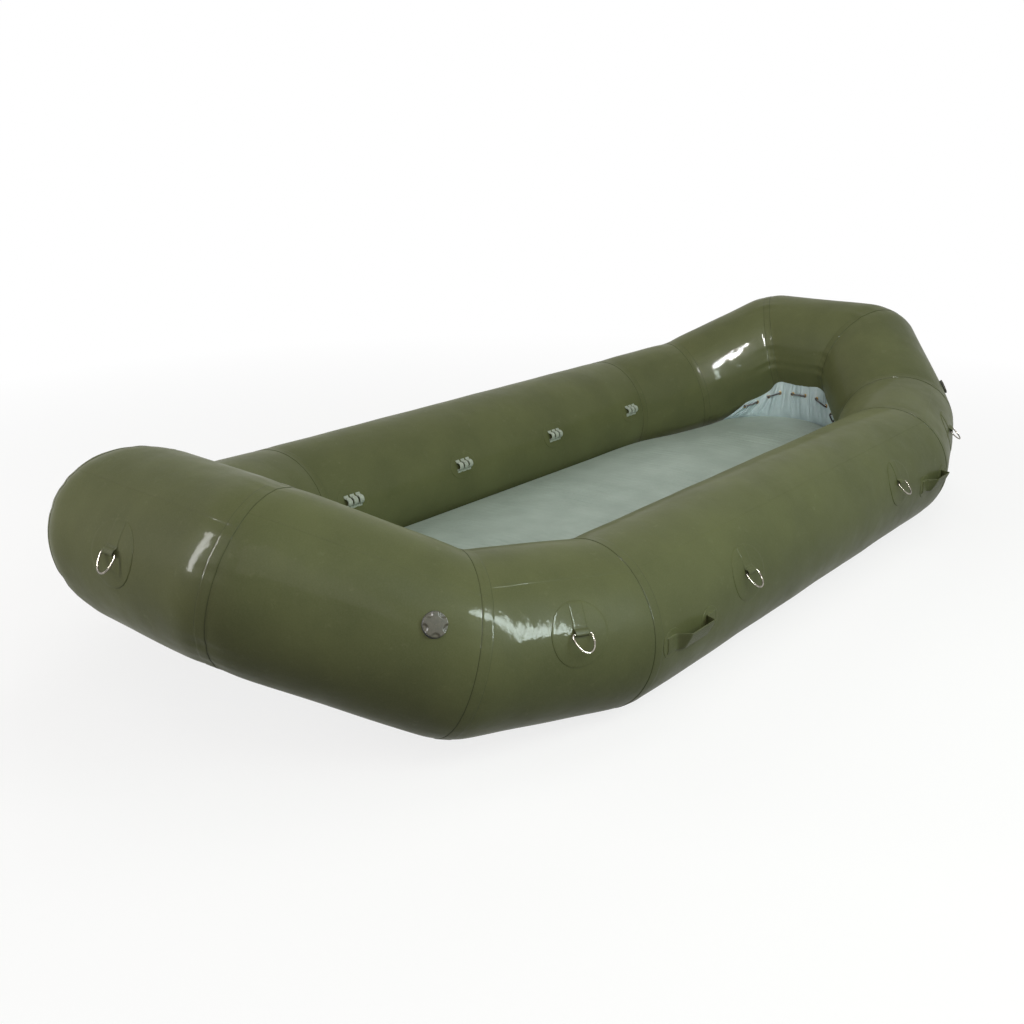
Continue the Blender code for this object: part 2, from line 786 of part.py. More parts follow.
def make_floor():
    top = EDGE_Z + EDGE_R + rocker(RELIEF_X) + crown(RELIEF_X, RELIEF_Y)
    collar = disc(RELIEF_D / 2, top - FLOOR_SKIN * 0.6, top + RELIEF_H, 16)
    collar.transform(Matrix.Translation((RELIEF_X, RELIEF_Y, 0)))
    bm = boolean(floor_shell(0), collar, "UNION")
    hollow = floor_shell(FLOOR_SKIN)
    for i in range(6):
        a = math.pi / 3 * i
        reach = RELIEF_D * 0.3
        x = RELIEF_X + reach * math.cos(a)
        y = RELIEF_Y + reach * math.sin(a)
        vent = disc(RELIEF_VENT_D / 2, top - 4 * FLOOR_SKIN, top + 2 * RELIEF_H, 8)
        vent.transform(Matrix.Translation((x, y, 0)))
        hollow = boolean(hollow, vent, "UNION")
    bm = boolean(bm, hollow, "DIFFERENCE")
    emit("floor", bm, FLOOR_GREY, Matrix.Translation((0, 0, EDGE_Z)))


# Curtain and cord


def along_path(points, u):
    """Point at fraction u of the length of a chain of points."""
    lengths = [(b - a).length for a, b in zip(points, points[1:])]
    left = u * sum(lengths)
    for a, b, length in zip(points, points[1:], lengths):
        if left <= length + 1e-9:
            return a.lerp(b, min(1.0, left / length))
        left -= length
    return points[-1]


def curtain_lines():
    """Top line on the end tubes and foot line on the floor's edge, from port to starboard."""
    quarter = SECTIONS["quarter", 1, 1]
    end = SECTIONS["end", 1, 0]
    angle = math.pi + math.radians(CURTAIN_TOP_ANGLE)
    height = GAP + CURTAIN_T / 2 + FIT
    half = [quarter.at(quarter.length * 0.45, angle, height)]
    half.append(quarter.at(quarter.length * 0.68, angle, height))
    half.append(end.at(end.length * 0.30, angle, height))
    top = half + [mirrored(p, 1, -1) for p in reversed(half)]
    count = len(EDGE) // 4
    foot = []
    reach = GAP + CURTAIN_T / 2 + FIT
    for i in range(count - 4, count + 5):
        foot.append(edge_out(i, 50, reach))
    return top, foot


TOP_LINE, FOOT_LINE = curtain_lines()


def curtain_point(u, v, off=0.0):
    """Point on the gathered curtain: u from port to starboard, v from the tube to the floor."""
    a = along_path(TOP_LINE, u)
    b = along_path(FOOT_LINE, u)
    normal = Vector((FLOOR_TIP * 0.7, 0, 0)) - a.lerp(b, v)
    normal.z = 0
    normal.normalize()
    wave = math.sin(2 * math.pi * CURTAIN_FOLDS * u) * math.sin(math.pi * min(1, v * 1.05))
    belly = 0.010 * math.sin(math.pi * v)
    return a.lerp(b, v) + normal * (off + CURTAIN_FOLD * wave + belly)


def hole_u(i):
    return (i + 0.5) / CURTAIN_HOLES


HOLE_V = 0.30


def make_curtain(sx):
    columns = CURTAIN_FOLDS * 3
    rows = (0.0, 0.45, 0.75, 1.0)
    outline = []
    for face in (1, -1):
        off = face * CURTAIN_T / 2
        outline.append([[curtain_point(i / columns, v, off) for i in range(columns + 1)]
                        for v in rows])
    rings = []
    for i in range(columns + 1):
        ring = [outline[0][r][i] for r in range(len(rows))]
        ring += [outline[1][r][i] for r in reversed(range(len(rows)))]
        rings.append(ring)
    bm = loft(rings)
    bm.verts.ensure_lookup_table()
    count = 2 * len(rows)
    for start in (0, len(bm.verts) - count):
        for r in range(len(rows) - 1):
            a = bm.verts[start + r]
            b = bm.verts[start + r + 1]
            c = bm.verts[start + count - 2 - r]
            d = bm.verts[start + count - 1 - r]
            bm.faces.new((a, b, c, d))
    bmesh.ops.triangulate(bm, faces=bm.faces)
    cuts = bmesh.new()
    for i in range(CURTAIN_HOLES):
        u = hole_u(i)
        front = curtain_point(u, HOLE_V, HOLE_D)
        back = curtain_point(u, HOLE_V, -HOLE_D)
        place = frame((front + back) / 2, Vector((0, 0, 1)), front - back)
        bmesh.ops.create_cone(cuts, cap_ends=True, segments=8, radius1=HOLE_D / 2,
                              radius2=HOLE_D / 2, depth=HOLE_D, matrix=place)
    bm = boolean(bm, cuts, "DIFFERENCE")
    for v in bm.verts:
        v.co = mirrored(v.co, sx, 1)
    origin = mirrored(curtain_point(0.5, 0.0), sx, 1)
    emit("lacing_curtain_" + end_word(sx), bm, BLUE, Matrix.Translation(origin))


def cord_half(sx):
    """Cord through the holes of one curtain, from port to starboard."""
    points = []
    near = (CURTAIN_T + CORD_D) / 2 + CURTAIN_FOLD * 1.25
    for i in range(CURTAIN_HOLES):
        u = hole_u(i)
        first = 1 if i % 2 else -1
        points.append(curtain_point(u, HOLE_V, first * near))
        points.append(curtain_point(u, HOLE_V, -first * near))
        if i % 2 and i < CURTAIN_HOLES - 1:
            middle = (u + hole_u(i + 1)) / 2
            points.append(curtain_point(middle, HOLE_V, -near - CURTAIN_FOLD))
    return [mirrored(p, sx, 1) for p in points]


def make_cord():
    """One cord: laced through the bow curtain, along the floor's edge and through the stern."""
    points = cord_half(1)
    count = len(EDGE) // 4
    off = CORD_D / 2 + 4 * GAP
    step = 180 / FLOOR_EDGE_STEPS
    lifts = [3 * step - 90, 2 * step - 90] + [step - 90] * (2 * count - 9)
    lifts += [2 * step - 90, 3 * step - 90]
    for k, lift in enumerate(lifts):
        points.append(edge_out(count + 3 + k, lift, off))
    points += reversed(cord_half(-1))
    for k, lift in enumerate(lifts):
        points.append(edge_out(3 * count + 3 + k, lift, off))
    curve = bpy.data.curves.new("floor_lacing_cord", "CURVE")
    curve.dimensions = "3D"
    curve.bevel_depth = CORD_D / 2
    curve.bevel_resolution = 1
    spline = curve.splines.new("POLY")
    spline.points.add(len(points) - 1)
    for point, p in zip(spline.points, points):
        point.co = (*p, 1)
    spline.use_cyclic_u = True
    curve.materials.append(BLACK)
    ob = bpy.data.objects.new("floor_lacing_cord", curve)
    MAIN.objects.link(ob)


make_tubes()
make_rings()
make_handles()
make_loops()
make_valves()
make_floor()
make_curtain(1)
make_curtain(-1)
make_cord()
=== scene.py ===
"""Whitewater raft in glossy urethane coated fabric, in a pale studio.

Every tube, patch, strap, wire and sheet is a surface worked out on a grid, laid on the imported
frame. Metres, +Z up, X along the raft towards the bow, Y to port.
"""
import json
import math

import bpy
import numpy as np
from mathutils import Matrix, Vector

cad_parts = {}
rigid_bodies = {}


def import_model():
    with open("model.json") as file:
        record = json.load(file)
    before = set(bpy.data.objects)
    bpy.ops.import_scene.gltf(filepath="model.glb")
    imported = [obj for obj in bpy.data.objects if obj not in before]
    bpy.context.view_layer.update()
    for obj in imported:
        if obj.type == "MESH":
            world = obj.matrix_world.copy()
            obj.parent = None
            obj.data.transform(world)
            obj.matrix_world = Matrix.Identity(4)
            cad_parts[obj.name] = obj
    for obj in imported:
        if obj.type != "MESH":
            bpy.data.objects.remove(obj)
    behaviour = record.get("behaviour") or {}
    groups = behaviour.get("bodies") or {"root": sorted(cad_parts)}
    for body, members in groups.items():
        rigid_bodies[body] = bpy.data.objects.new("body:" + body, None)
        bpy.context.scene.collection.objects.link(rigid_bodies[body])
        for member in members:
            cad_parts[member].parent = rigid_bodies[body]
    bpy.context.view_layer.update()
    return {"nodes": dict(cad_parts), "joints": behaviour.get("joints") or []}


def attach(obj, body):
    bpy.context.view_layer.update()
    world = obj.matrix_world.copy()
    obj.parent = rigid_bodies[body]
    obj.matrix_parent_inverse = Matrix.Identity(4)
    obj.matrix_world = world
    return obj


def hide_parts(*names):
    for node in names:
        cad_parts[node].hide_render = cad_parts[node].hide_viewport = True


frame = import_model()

# Tube ring: where the centre lines of two runs meet, from the middle of the raft.
TUBE_R = 0.2543
SIDE_HALF = 1.069
BEAM_HALF = 0.737
CENTRE_Z = 0.2538
SHOULDER = np.array((0.463, -0.149, 0.057))
QUARTER = np.array((0.375, -0.336, 0.228))

# How an inflated tube differs from plain mitred pipe.
SEAM_ROUND_OUT = 0.12
SEAM_ROUND_IN = 0.03
SEAM_PINCH = 0.0030
SEAM_PINCH_REACH = 0.055
PUCKER = 0.0024
PUCKER_REACH = 0.060
PUCKERS = 22
PUCKER_TURN = 0.55
PUCKER_LEAST = 0.30
WAVE = 0.0009
TAPE_W = 0.034
TAPE_T = 0.0013
LAP_ANGLE = math.radians(56)
LAP_W = 0.038
LAP_T = 0.0005

# Fittings, at the sizes that the photograph shows. Some of the frame's own nodes are larger.
PATCH_D = 0.184
PATCH_T = 0.0015
PATCH_EDGE = 0.0012
TAB_W = 0.046
TAB_T = 0.003
KEEPER_T = 0.0019
KEEPER_OFF = 0.0016
RING_W = 0.070
RING_H = 0.060
RING_WIRE = 0.0054
RING_HANG = math.radians(26)
END_RING_HANG = math.radians(16)
RING_BEND = 0.007
SUNK = 0.0005
HANDLE_X = 0.944
HANDLE_ANGLE = math.radians(1)
HANDLE_SPAN = 0.116
HANDLE_RISE = 0.036
HANDLE_RAMP = 0.022
HANDLE_W = 0.050
HANDLE_T = 0.0035
HANDLE_LEAN = (0.72, 0.38)
PAD_D = 0.092
LOOP_PITCH = 0.604
LOOP_ANGLE = math.radians(16)
BAND_W = 0.0205
BAND_STEP = 0.0285
BAND_T = 0.0050
TUNNEL_R = 0.0115
LOOP_FOOT = 0.009
LOOP_PATCH_L = 0.150
LOOP_PATCH_W = 0.115
FLANGE_D = 0.060
FLANGE_T = 0.004
SOCKET_D = 0.042
CAP_D = 0.066
CAP_T = 0.0085
CAP_NOTCHES = 5
SCOOP_D = 0.026
SCOOP_DEPTH = 0.0042
CAP_EDGE = 0.0024
CAP_DOME = 0.0010
PLUG_DEPTH = 0.009

# Floor, curtains and cord.
FLOOR_T = 0.130
FLOOR_LIFT = 0.025
FLOOR_CROWN = 0.034
FLOOR_TIP = 1.700
FLOOR_ROCKER = 0.050
FLOOR_ROCKER_FROM = 1.000
WRINKLES = (0.0009, 0.0007, 0.0009, 0.0014)
FRAME_R = 0.255
RELIEF = (-1.250, -0.180)
RELIEF_D = 0.060
RELIEF_H = 0.006
CURTAIN_T = 0.0016
CURTAIN_FOLD = 0.004
CURTAIN_FOLDS = 10
CURTAIN_BELLY = 0.010
CURTAIN_GATHER = 0.0034
CURTAIN_WALL = 0.0009
CURTAIN_TOP_ANGLE = math.radians(38)
HOLES = 10
HOLE_V = 0.30
HOLE_D = 0.013
GROMMET_R = 0.0078
GROMMET_HALF = (0.0024, 0.0017)
CORD_D = 0.0085
GAP = 0.0003

END_WORD = {1: "bow", -1: "stern"}
SIDE_WORD = {1: "port", -1: "starboard"}
HULL = "hull"


# Meshes from grids


def unit(v):
    """Vectors scaled to length 1."""
    v = np.asarray(v, float)
    return v / np.linalg.norm(v, axis=-1, keepdims=True)


def smooth(t):
    """0 before 0, 1 after 1, and an S curve between."""
    t = np.clip(t, 0, 1)
    return t * t * (3 - 2 * t)


def turns(count):
    """Even steps of a full turn."""
    return np.linspace(0, 2 * np.pi, count, endpoint=False)


def run_along(chain):
    """Distance of each point along a chain of points."""
    return np.concatenate([[0], np.cumsum(np.linalg.norm(np.diff(chain, axis=0), axis=1))])


def linked(name, data):
    """An object with this data, in the scene."""
    ob = bpy.data.objects.new(name, data)
    bpy.context.scene.collection.objects.link(ob)
    return ob


def grid_piece(name, points, mat, body=HULL, around=False, loop=False, uv=None,
               away=None, keep=None, caps=False):
    """Mesh through a grid of points, rows first.

    around closes each row on itself and loop closes the rows on each other. away gives a
    direction at each point that its face should look along; without it the middle of the piece
    is used. uv is a pair of grids in metres. keep is a mask of quads. caps closes the first and
    last row with a fan.
    """
    rows, cols = points.shape[:2]
    down = np.arange(rows if loop else rows - 1)
    side = np.arange(cols if around else cols - 1)
    a, b = [g.ravel() for g in np.meshgrid(down, side, indexing="ij")]
    if keep is not None:
        a, b = a[keep[a, b]], b[keep[a, b]]
    corners = [(a, b), (a + 1, b), (a + 1, b + 1), (a, b + 1)]
    quads = np.stack([r % rows * cols + c % cols for r, c in corners], -1)
    verts = points.reshape(-1, 3)
    normal = np.cross(verts[quads[:, 2]] - verts[quads[:, 0]], verts[quads[:, 3]] - verts[quads[:, 1]])
    if away is None:
        want = verts[quads].mean(1) - verts.mean(0)
    else:
        want = np.broadcast_to(away, points.shape).reshape(-1, 3)[quads[:, 0]]
    ends = [list(range(cols)), list(range((rows - 1) * cols, rows * cols))]
    if (normal * want).sum() < 0:
        quads = quads[:, ::-1]
        corners = corners[::-1]
        ends[1].reverse()
    else:
        ends[0].reverse()
    mesh = bpy.data.meshes.new(name)
    mesh.from_pydata(verts.tolist(), [], quads.tolist() + (ends if caps else []))
    if uv is not None:
        flat = np.array([[g[r, c] for r, c in corners] for g in uv]).transpose(2, 1, 0).reshape(-1, 2)
        full = np.zeros((len(mesh.loops), 2))
        full[:len(flat)] = flat
        mesh.uv_layers.new(name="UVMap").data.foreach_set("uv", full.ravel())
    mesh.shade_smooth()
    mesh.validate()
    piece = linked(name, mesh)
    mesh.materials.append(mat)
    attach(piece, body)
    return piece


def joined(name, pieces):
    """One piece from several that ride on the same body."""
    for ob in bpy.context.view_layer.objects:
        ob.select_set(False)
    for ob in pieces:
        ob.select_set(True)
    bpy.context.view_layer.objects.active = pieces[0]
    bpy.ops.object.join()
    pieces[0].name = name
    pieces[0].data.name = name
    return pieces[0]


def closed_spline(points, count):
    """A smooth closed curve through points, with count samples on each step."""
    p0, p1 = np.roll(points, 1, 0), points
    p2, p3 = np.roll(points, -1, 0), np.roll(points, -2, 0)
    t = (np.arange(count) / count)[:, None, None]
    out = 0.5 * (2 * p1 + (p2 - p0) * t + (2 * p0 - 5 * p1 + 4 * p2 - p3) * t ** 2
                 + (3 * p1 - p0 - 3 * p2 + p3) * t ** 3)
    return out.transpose(1, 0, 2).reshape(-1, points.shape[1])


def resampled(path, count, closed):
    """count points at even distances along a chain of points."""
    chain = np.vstack([path, path[:1]]) if closed else path
    run = run_along(chain)
    at = np.linspace(0, run[-1], count, endpoint=not closed)
    return np.stack([np.interp(at, run, chain[:, k]) for k in range(chain.shape[1])], -1)


def wire_piece(name, path, radius, sides, mat, body=HULL):
    """A closed wire or cord: a circle in the plane square to its path at each point.

    The circle is carried from point to point without twist, and the twist that is left at the
    end is spread over the path evenly. UV goes along the path and round it, in metres.
    """
    along = unit(np.roll(path, -1, 0) - np.roll(path, 1, 0))
    axes = [unit(np.cross(along[0], (0.31, 0.27, 0.91)))]
    for d in along[1:]:
        axes.append(unit(axes[-1] - d * axes[-1].dot(d)))
    axes = np.array(axes)
    other = np.cross(along, axes)
    back = unit(axes[-1] - along[0] * axes[-1].dot(along[0]))
    left = math.atan2(back.dot(other[0]), back.dot(axes[0]))
    turn = (turns(sides) - left * (np.arange(len(path)) / len(path))[:, None])[..., None]
    spoke = radius * (np.cos(turn) * axes[:, None] + np.sin(turn) * other[:, None])
    uv = np.meshgrid(run_along(np.vstack([path, path[:1]])), np.linspace(0, 2 * np.pi * radius, sides + 1),
                     indexing="ij")
    return grid_piece(name, path[:, None] + spoke, mat, body, True, True, uv, spoke)


# The tube ring


class Run:
    """One straight run of the ring: its centre line, level cross frame and end mitres."""

    def __init__(self, node, start, end):
        self.node = node
        self.a = start
        self.d = unit(end - start)
        self.length = np.linalg.norm(end - start)
        self.out = unit(np.cross((0, 0, 1), self.d))
        self.up = np.cross(self.d, self.out)

    def radial(self, angle):
        """Direction off the centre line at an angle above level outward."""
        angle = np.asarray(angle, float)[..., None]
        return np.cos(angle) * self.out + np.sin(angle) * self.up

    def place(self, point):
        """Station and angle of a point near the skin."""
        rel = np.array(point) - self.a
        return rel @ self.d, math.atan2(rel @ self.up, rel @ self.out)


class Mitre:
    """The seam plane between two runs."""

    def __init__(self, d_in, d_out):
        self.d_in, self.d_out = d_in, d_out
        self.normal = unit(d_in + d_out)
        self.outer = unit(d_in - d_out)
        self.side = np.cross(self.normal, self.outer)
        self.turn = math.acos(np.clip(d_in @ d_out, -1, 1))

    def mirrored(self, v):
        """Directions mirrored in the seam plane."""
        return v - 2 * (v @ self.normal)[..., None] * self.normal

    def flat(self, radial):
        """Directions laid into the seam plane."""
        return unit(radial - (radial @ self.normal)[..., None] * self.normal)

    def outerness(self, radial):
        """1 on the outer side of the bend, -1 on the inner side."""
        return self.flat(radial) @ self.outer


def ring_runs():
    """The twelve runs in order round the raft, clockwise from the port side tube."""
    n1 = np.array((SIDE_HALF, BEAM_HALF, CENTRE_Z))
    n2 = n1 + SHOULDER
    n3 = n2 + QUARTER
    corners, names = [], []
    for sx, order, sy in ((1, (n1, n2, n3), 1), (1, (n3, n2, n1), -1),
                          (-1, (n1, n2, n3), -1), (-1, (n3, n2, n1), 1)):
        corners += [p * (sx, sy, 1) for p in order]
        tail = "_" + END_WORD[sx] + "_" + SIDE_WORD[sy]
        parts = ["shoulder_tube" + tail, "quarter_tube" + tail]
        if sx * sy > 0:
            names += parts + ["end_tube_" + END_WORD[sx]]
        else:
            names += parts[::-1] + ["side_tube_" + SIDE_WORD[sy]]
    count = len(corners)
    runs = [Run(names[i], corners[i], corners[(i + 1) % count]) for i in range(count)]
    for i, run in enumerate(runs):
        run.start = Mitre(runs[i - 1].d, run.d)
    for i, run in enumerate(runs):
        run.end = runs[(i + 1) % count].start
    return runs


RUNS = ring_runs()
RUN = {run.node: run for run in RUNS}


def seam_relief(mitre, radial, t):
    """Lift of the skin near a mitre, a distance t from it.

    The glued seam holds the fabric in by a bell curve of t, and the fabric that the bend leaves
    slack stands in small puckers, a sine round the tube that fades with t.
    """
    flat = mitre.flat(radial)
    turn = np.arctan2(flat @ mitre.side, flat @ mitre.outer)
    slack = PUCKER_LEAST + (1 - PUCKER_LEAST) * (0.5 - 0.5 * np.cos(turn)) ** 2
    ripple = np.sin(PUCKERS * turn) + 0.7 * np.sin(1.7 * PUCKERS * turn + 1.3)
    ripple += 0.8 * np.sin(9 * turn + 0.4)
    ripple *= (0.5 + 0.5 * np.sin(5 * turn + 0.7)) * mitre.turn / PUCKER_TURN
    pinch = SEAM_PINCH * mitre.turn / PUCKER_TURN * np.exp(-(t / SEAM_PINCH_REACH) ** 2)
    return PUCKER * mitre.turn * slack * ripple * np.exp(-t / PUCKER_REACH) - pinch


def long_waves(p):
    """Faint unevenness of the inflated skin: sines of the place, a few decimetres long."""
    x, y, z = p[..., 0], p[..., 1], p[..., 2]
    broad = np.sin(11 * x + 7 * z) * np.sin(9 * y - 5 * z + 1)
    return WAVE * (broad + 0.5 * np.sin(23 * x - 17 * y + 13 * z))


def lap_relief(angle):
    """Step of a lengthwise lap: sharp at the upper panel's edge, soft where the lower one ends."""
    lift = 0
    for start in LAP_STARTS:
        turn = (angle - start + np.pi) % (2 * np.pi) - np.pi
        step = smooth(turn / LAP_EDGE) * (1 - smooth((turn - LAP_W / TUBE_R) / (6 * LAP_EDGE)))
        lift = lift + LAP_T * step
    return lift


def skin(run, station, angle, lift=0.0):
    """Points on the inflated skin of a run, with a lift off it.

    A straight round tube, whose lines at one angle bend into the next run along a parabola that
    is longer on the outside of the bend, plus the relief of seams, laps and waves.
    """
    station, angle = np.broadcast_arrays(np.asarray(station, float), angle)
    radial = run.radial(angle)
    p = run.a + station[..., None] * run.d + TUBE_R * radial
    normal = radial
    relief = lap_relief(angle)
    for mitre, sign in ((run.start, 1), (run.end, -1)):
        rim = -TUBE_R * (radial @ mitre.normal) / (run.d @ mitre.normal)
        t = station - rim if sign > 0 else run.length + rim - station
        q = mitre.outerness(radial)
        reach = mitre.turn * (SEAM_ROUND_IN + (SEAM_ROUND_OUT - SEAM_ROUND_IN) * (q + 1) / 2)
        u = 0.5 + 0.5 * np.clip(t / reach, 0, 1)
        near, far = (mitre.d_out, -mitre.d_in) if sign > 0 else (-mitre.d_in, mitre.d_out)
        bent = reach[..., None] * ((u ** 2)[..., None] * near + ((1 - u) ** 2)[..., None] * far)
        p = p + np.where((t < reach)[..., None], bent - t[..., None] * near, 0)
        hold = smooth(1 - t / (PUCKER_REACH + reach))
        normal = normal - (hold * (radial @ mitre.normal))[..., None] * mitre.normal
        relief = relief + seam_relief(mitre, radial, np.abs(t))
    relief = relief + long_waves(p)
    return p + unit(normal) * (relief + lift)[..., None]


def rims(run, angle):
    """Stations at which a line of the skin meets the mitres of its run."""
    radial = run.radial(angle)
    first = -TUBE_R * (radial @ run.start.normal) / (run.d @ run.start.normal)
    last = run.length - TUBE_R * (radial @ run.end.normal) / (run.d @ run.end.normal)
    return first, last


LAP_STARTS = (LAP_ANGLE, math.radians(-112))
LAP_EDGE = 0.004
NEAR_SEAM = np.array((0, 2, 5, 9, 14, 20, 27, 35, 44, 54, 66, 80, 96)) * 1e-3
MIDDLE_ROWS = 26
AROUND = 176


def around_angles():
    """Even steps round the tube, with extra ones at the edges of the laps."""
    even = np.linspace(-np.pi, np.pi, AROUND, endpoint=False)
    extra = [start + k * LAP_EDGE for start in LAP_STARTS for k in (0, 0.25, 0.5, 0.75, 1)]
    return np.sort(np.concatenate([even, extra]))


def girth(angle):
    """Distance round the tube at each angle, with the first one again after a full turn."""
    return np.append(angle, angle[0] + 2 * np.pi) * TUBE_R


def make_tube(run):
    """Skin of one run from mitre to mitre, with closer rows near the seams."""
    angle = around_angles()
    first, last = rims(run, angle)
    head = first[None, :] + NEAR_SEAM[:, None]
    tail = last[None, :] - NEAR_SEAM[::-1, None]
    mix = np.linspace(0, 1, MIDDLE_ROWS)[1:-1, None]
    station = np.vstack([head, head[-1] * (1 - mix) + tail[0] * mix, tail])
    along = np.hstack([station, station[:, :1]])
    uv = (along, np.broadcast_to(girth(angle), along.shape))
    piece = grid_piece(run.node.replace("_tube", "_skin"), skin(run, station, angle), COATED,
                       around=True, uv=uv, away=run.radial(angle))
    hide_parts(run.node)


def make_tape(i):
    """Seam tape over the mitre between run i and the one before, its edges down on the skin."""
    run, before = RUNS[i], RUNS[i - 1]
    mitre = run.start
    angle = around_angles()
    half = TAPE_W / 2
    across = np.array((half + 0.0006, half, half - 0.0008, half * 0.6, half * 0.3, 0.0004))
    lift = np.array((-0.0008, TAPE_T * 0.75, TAPE_T, TAPE_T, TAPE_T, TAPE_T))
    there = mitre.mirrored(run.radial(angle))
    other = np.arctan2(there @ before.up, there @ before.out)
    first, _ = rims(run, angle)
    _, last = rims(before, other)
    ahead = skin(run, first + across[:, None], angle, lift[:, None])
    behind = skin(before, last - across[:, None], other, lift[:, None])
    points = np.concatenate([behind, ahead[::-1]])
    rows = np.concatenate([-across, across[::-1]])
    uv = np.meshgrid(rows, girth(angle), indexing="ij")
    tail = "_".join(run.node.split("_")[2:])
    grid_piece("seam_tape_" + str(i + 1) + "_" + tail, points, TAPE, around=True,
               uv=uv, away=run.radial(angle))


# Fittings laid on the skin


def laid(spot, x, y, z):
    """A flat shape wrapped on a run at its spot, a run, station and angle.

    x goes along the run, y round it and z off the skin. The outward direction comes with it.
    """
    run, station, angle = spot
    x, y, z = np.broadcast_arrays(x, y, z)
    turn = angle + y / TUBE_R
    return skin(run, station + x, turn, z), run.radial(turn)


def outline_section(width, thickness):
    """Cross section of a flat strap: a rectangle whose long edges are rounded by half circles."""
    r = thickness * 0.48
    flat = np.linspace(-1, 1, 9) * (width / 2 - r)
    turn = np.linspace(-np.pi / 2, np.pi / 2, 5)
    right = np.stack([flat[-1] + r * np.cos(turn), thickness / 2 * np.sin(turn)], -1)
    top = np.stack([flat[::-1][1:-1], np.full(7, thickness / 2)], -1)
    left = np.stack([-right[::-1, 0], right[::-1, 1]], -1)
    under = np.stack([flat[1:-1], np.full(7, -thickness / 2)], -1)
    return np.concatenate([right, top, left, under])


def band(path, width, thickness):
    """A strap swept along a flat path: grids of distance along, across and off the skin."""
    along = unit(np.gradient(path, axis=0))
    normal = np.stack([-along[:, 1], along[:, 0]], -1)
    section = outline_section(width, thickness)
    side = np.broadcast_to(section[:, 0], (len(path), len(section)))
    first = path[:, :1] + normal[:, :1] * section[:, 1]
    off = path[:, 1:] + normal[:, 1:] * section[:, 1]
    uv = np.meshgrid(run_along(path), run_along(np.vstack([section, section[:1]])), indexing="ij")
    return first, side, off, uv


def make_patch(name, spot, width, length):
    """Round or oval patch: rings from the middle to a rounded edge, and a skirt under the skin."""
    edge = 2 * PATCH_EDGE / min(width, length)
    turn = np.linspace(0, np.pi / 2, 4)
    share = np.concatenate([np.linspace(0.02, 1 - edge, 14), 1 - edge * (1 - np.sin(turn))[1:], [1.0]])
    lift = np.concatenate([np.full(14, PATCH_T), PATCH_T * np.cos(turn)[1:], [-0.0007]])
    x = share[:, None] * length / 2 * np.cos(turns(72))
    y = share[:, None] * width / 2 * np.sin(turns(72))
    points, away = laid(spot, x, y, lift[:, None])
    closing = [np.hstack([g, g[:, :1]]) for g in (x, y)]
    return grid_piece(name, points, PATCH, around=True, away=away, uv=closing, caps=True)


def raised_strip(name, spot, x_span, y_span, height, edge, mat=None):
    """Low ridge on a patch where webbing lies beneath it, with sides that ease down over edge."""
    def spread(span):
        """Steps over a span, closer at its ends."""
        inside = np.linspace(span[0] + edge, span[1] - edge, 9)
        ends = edge * np.array((0, 0.15, 0.3, 0.5, 0.7, 0.85))
        return np.concatenate([span[0] + ends, inside, span[1] - ends[::-1]])
    x, y = np.meshgrid(spread(x_span), spread(y_span), indexing="ij")
    rise = 1.0
    for g, span in ((x, x_span), (y, y_span)):
        rise = rise * smooth((g - span[0]) / edge) * smooth((span[1] - g) / edge)
    points, away = laid(spot, x, y, PATCH_T - SUNK + (height + SUNK) * rise)
    return grid_piece(name, points, mat or PATCH, away=away, uv=(x, y))


def fitting_run(tail):
    """The run that a fitting with this name ending sits on."""
    kind = tail.split("_")[0]
    side = tail.split("_")[-1]
    if kind == "side":
        return RUN["side_tube_" + side]
    if kind in END_WORD.values():
        return RUN["end_tube_" + kind]
    return RUN[tail.replace("shoulder", "shoulder_tube")]


def ring_wire():
    """Centre line of the D in its own plane: a bar and a rounded V, with the corners bent.

    The V is half the width times the cosine and the drop times the sine to the power 0.85. The
    corners come from a running mean over the bend radius.
    """
    half = (RING_W - RING_WIRE) / 2
    drop = RING_H - RING_WIRE
    bar = half - RING_WIRE * 0.6
    a = np.pi * (0.035 + 0.93 * np.linspace(0, 1, 60))
    arm = np.stack([half * np.cos(a), -drop * np.sin(a) ** 0.85], -1)
    path = resampled(np.vstack([[(-bar, 0), (bar, 0)], arm]), 480, True)
    step = np.linalg.norm(path[1] - path[0])
    window = int(RING_BEND / step) | 1
    kernel = np.hanning(window + 2)[1:-1]
    kernel /= kernel.sum()
    wide = np.vstack([path[-window:], path, path[:window]])
    soft = np.stack([np.convolve(wide[:, k], kernel, "same") for k in range(2)], -1)
    return resampled(soft[window:-window], 110, True)


def keeper_path(bar_height):
    """Side view of the webbing that goes round the ring's bar and back under the patch."""
    r = RING_WIRE / 2 + KEEPER_OFF
    turn = np.radians(np.linspace(75, 268, 16))
    eye = np.stack([r * np.cos(turn), bar_height + r * np.sin(turn)], -1)
    tail = np.array(((0.026, PATCH_T + 0.0001), (0.020, PATCH_T + 0.0008), (0.014, PATCH_T + 0.0024),
                     (0.009, bar_height + r * 0.45), (0.0050, bar_height + r * 0.82)))
    back = np.array(((0.004, bar_height - r * 0.98), (0.010, bar_height - r * 0.98)))
    return resampled(np.vstack([tail, eye, back]), 48, False)


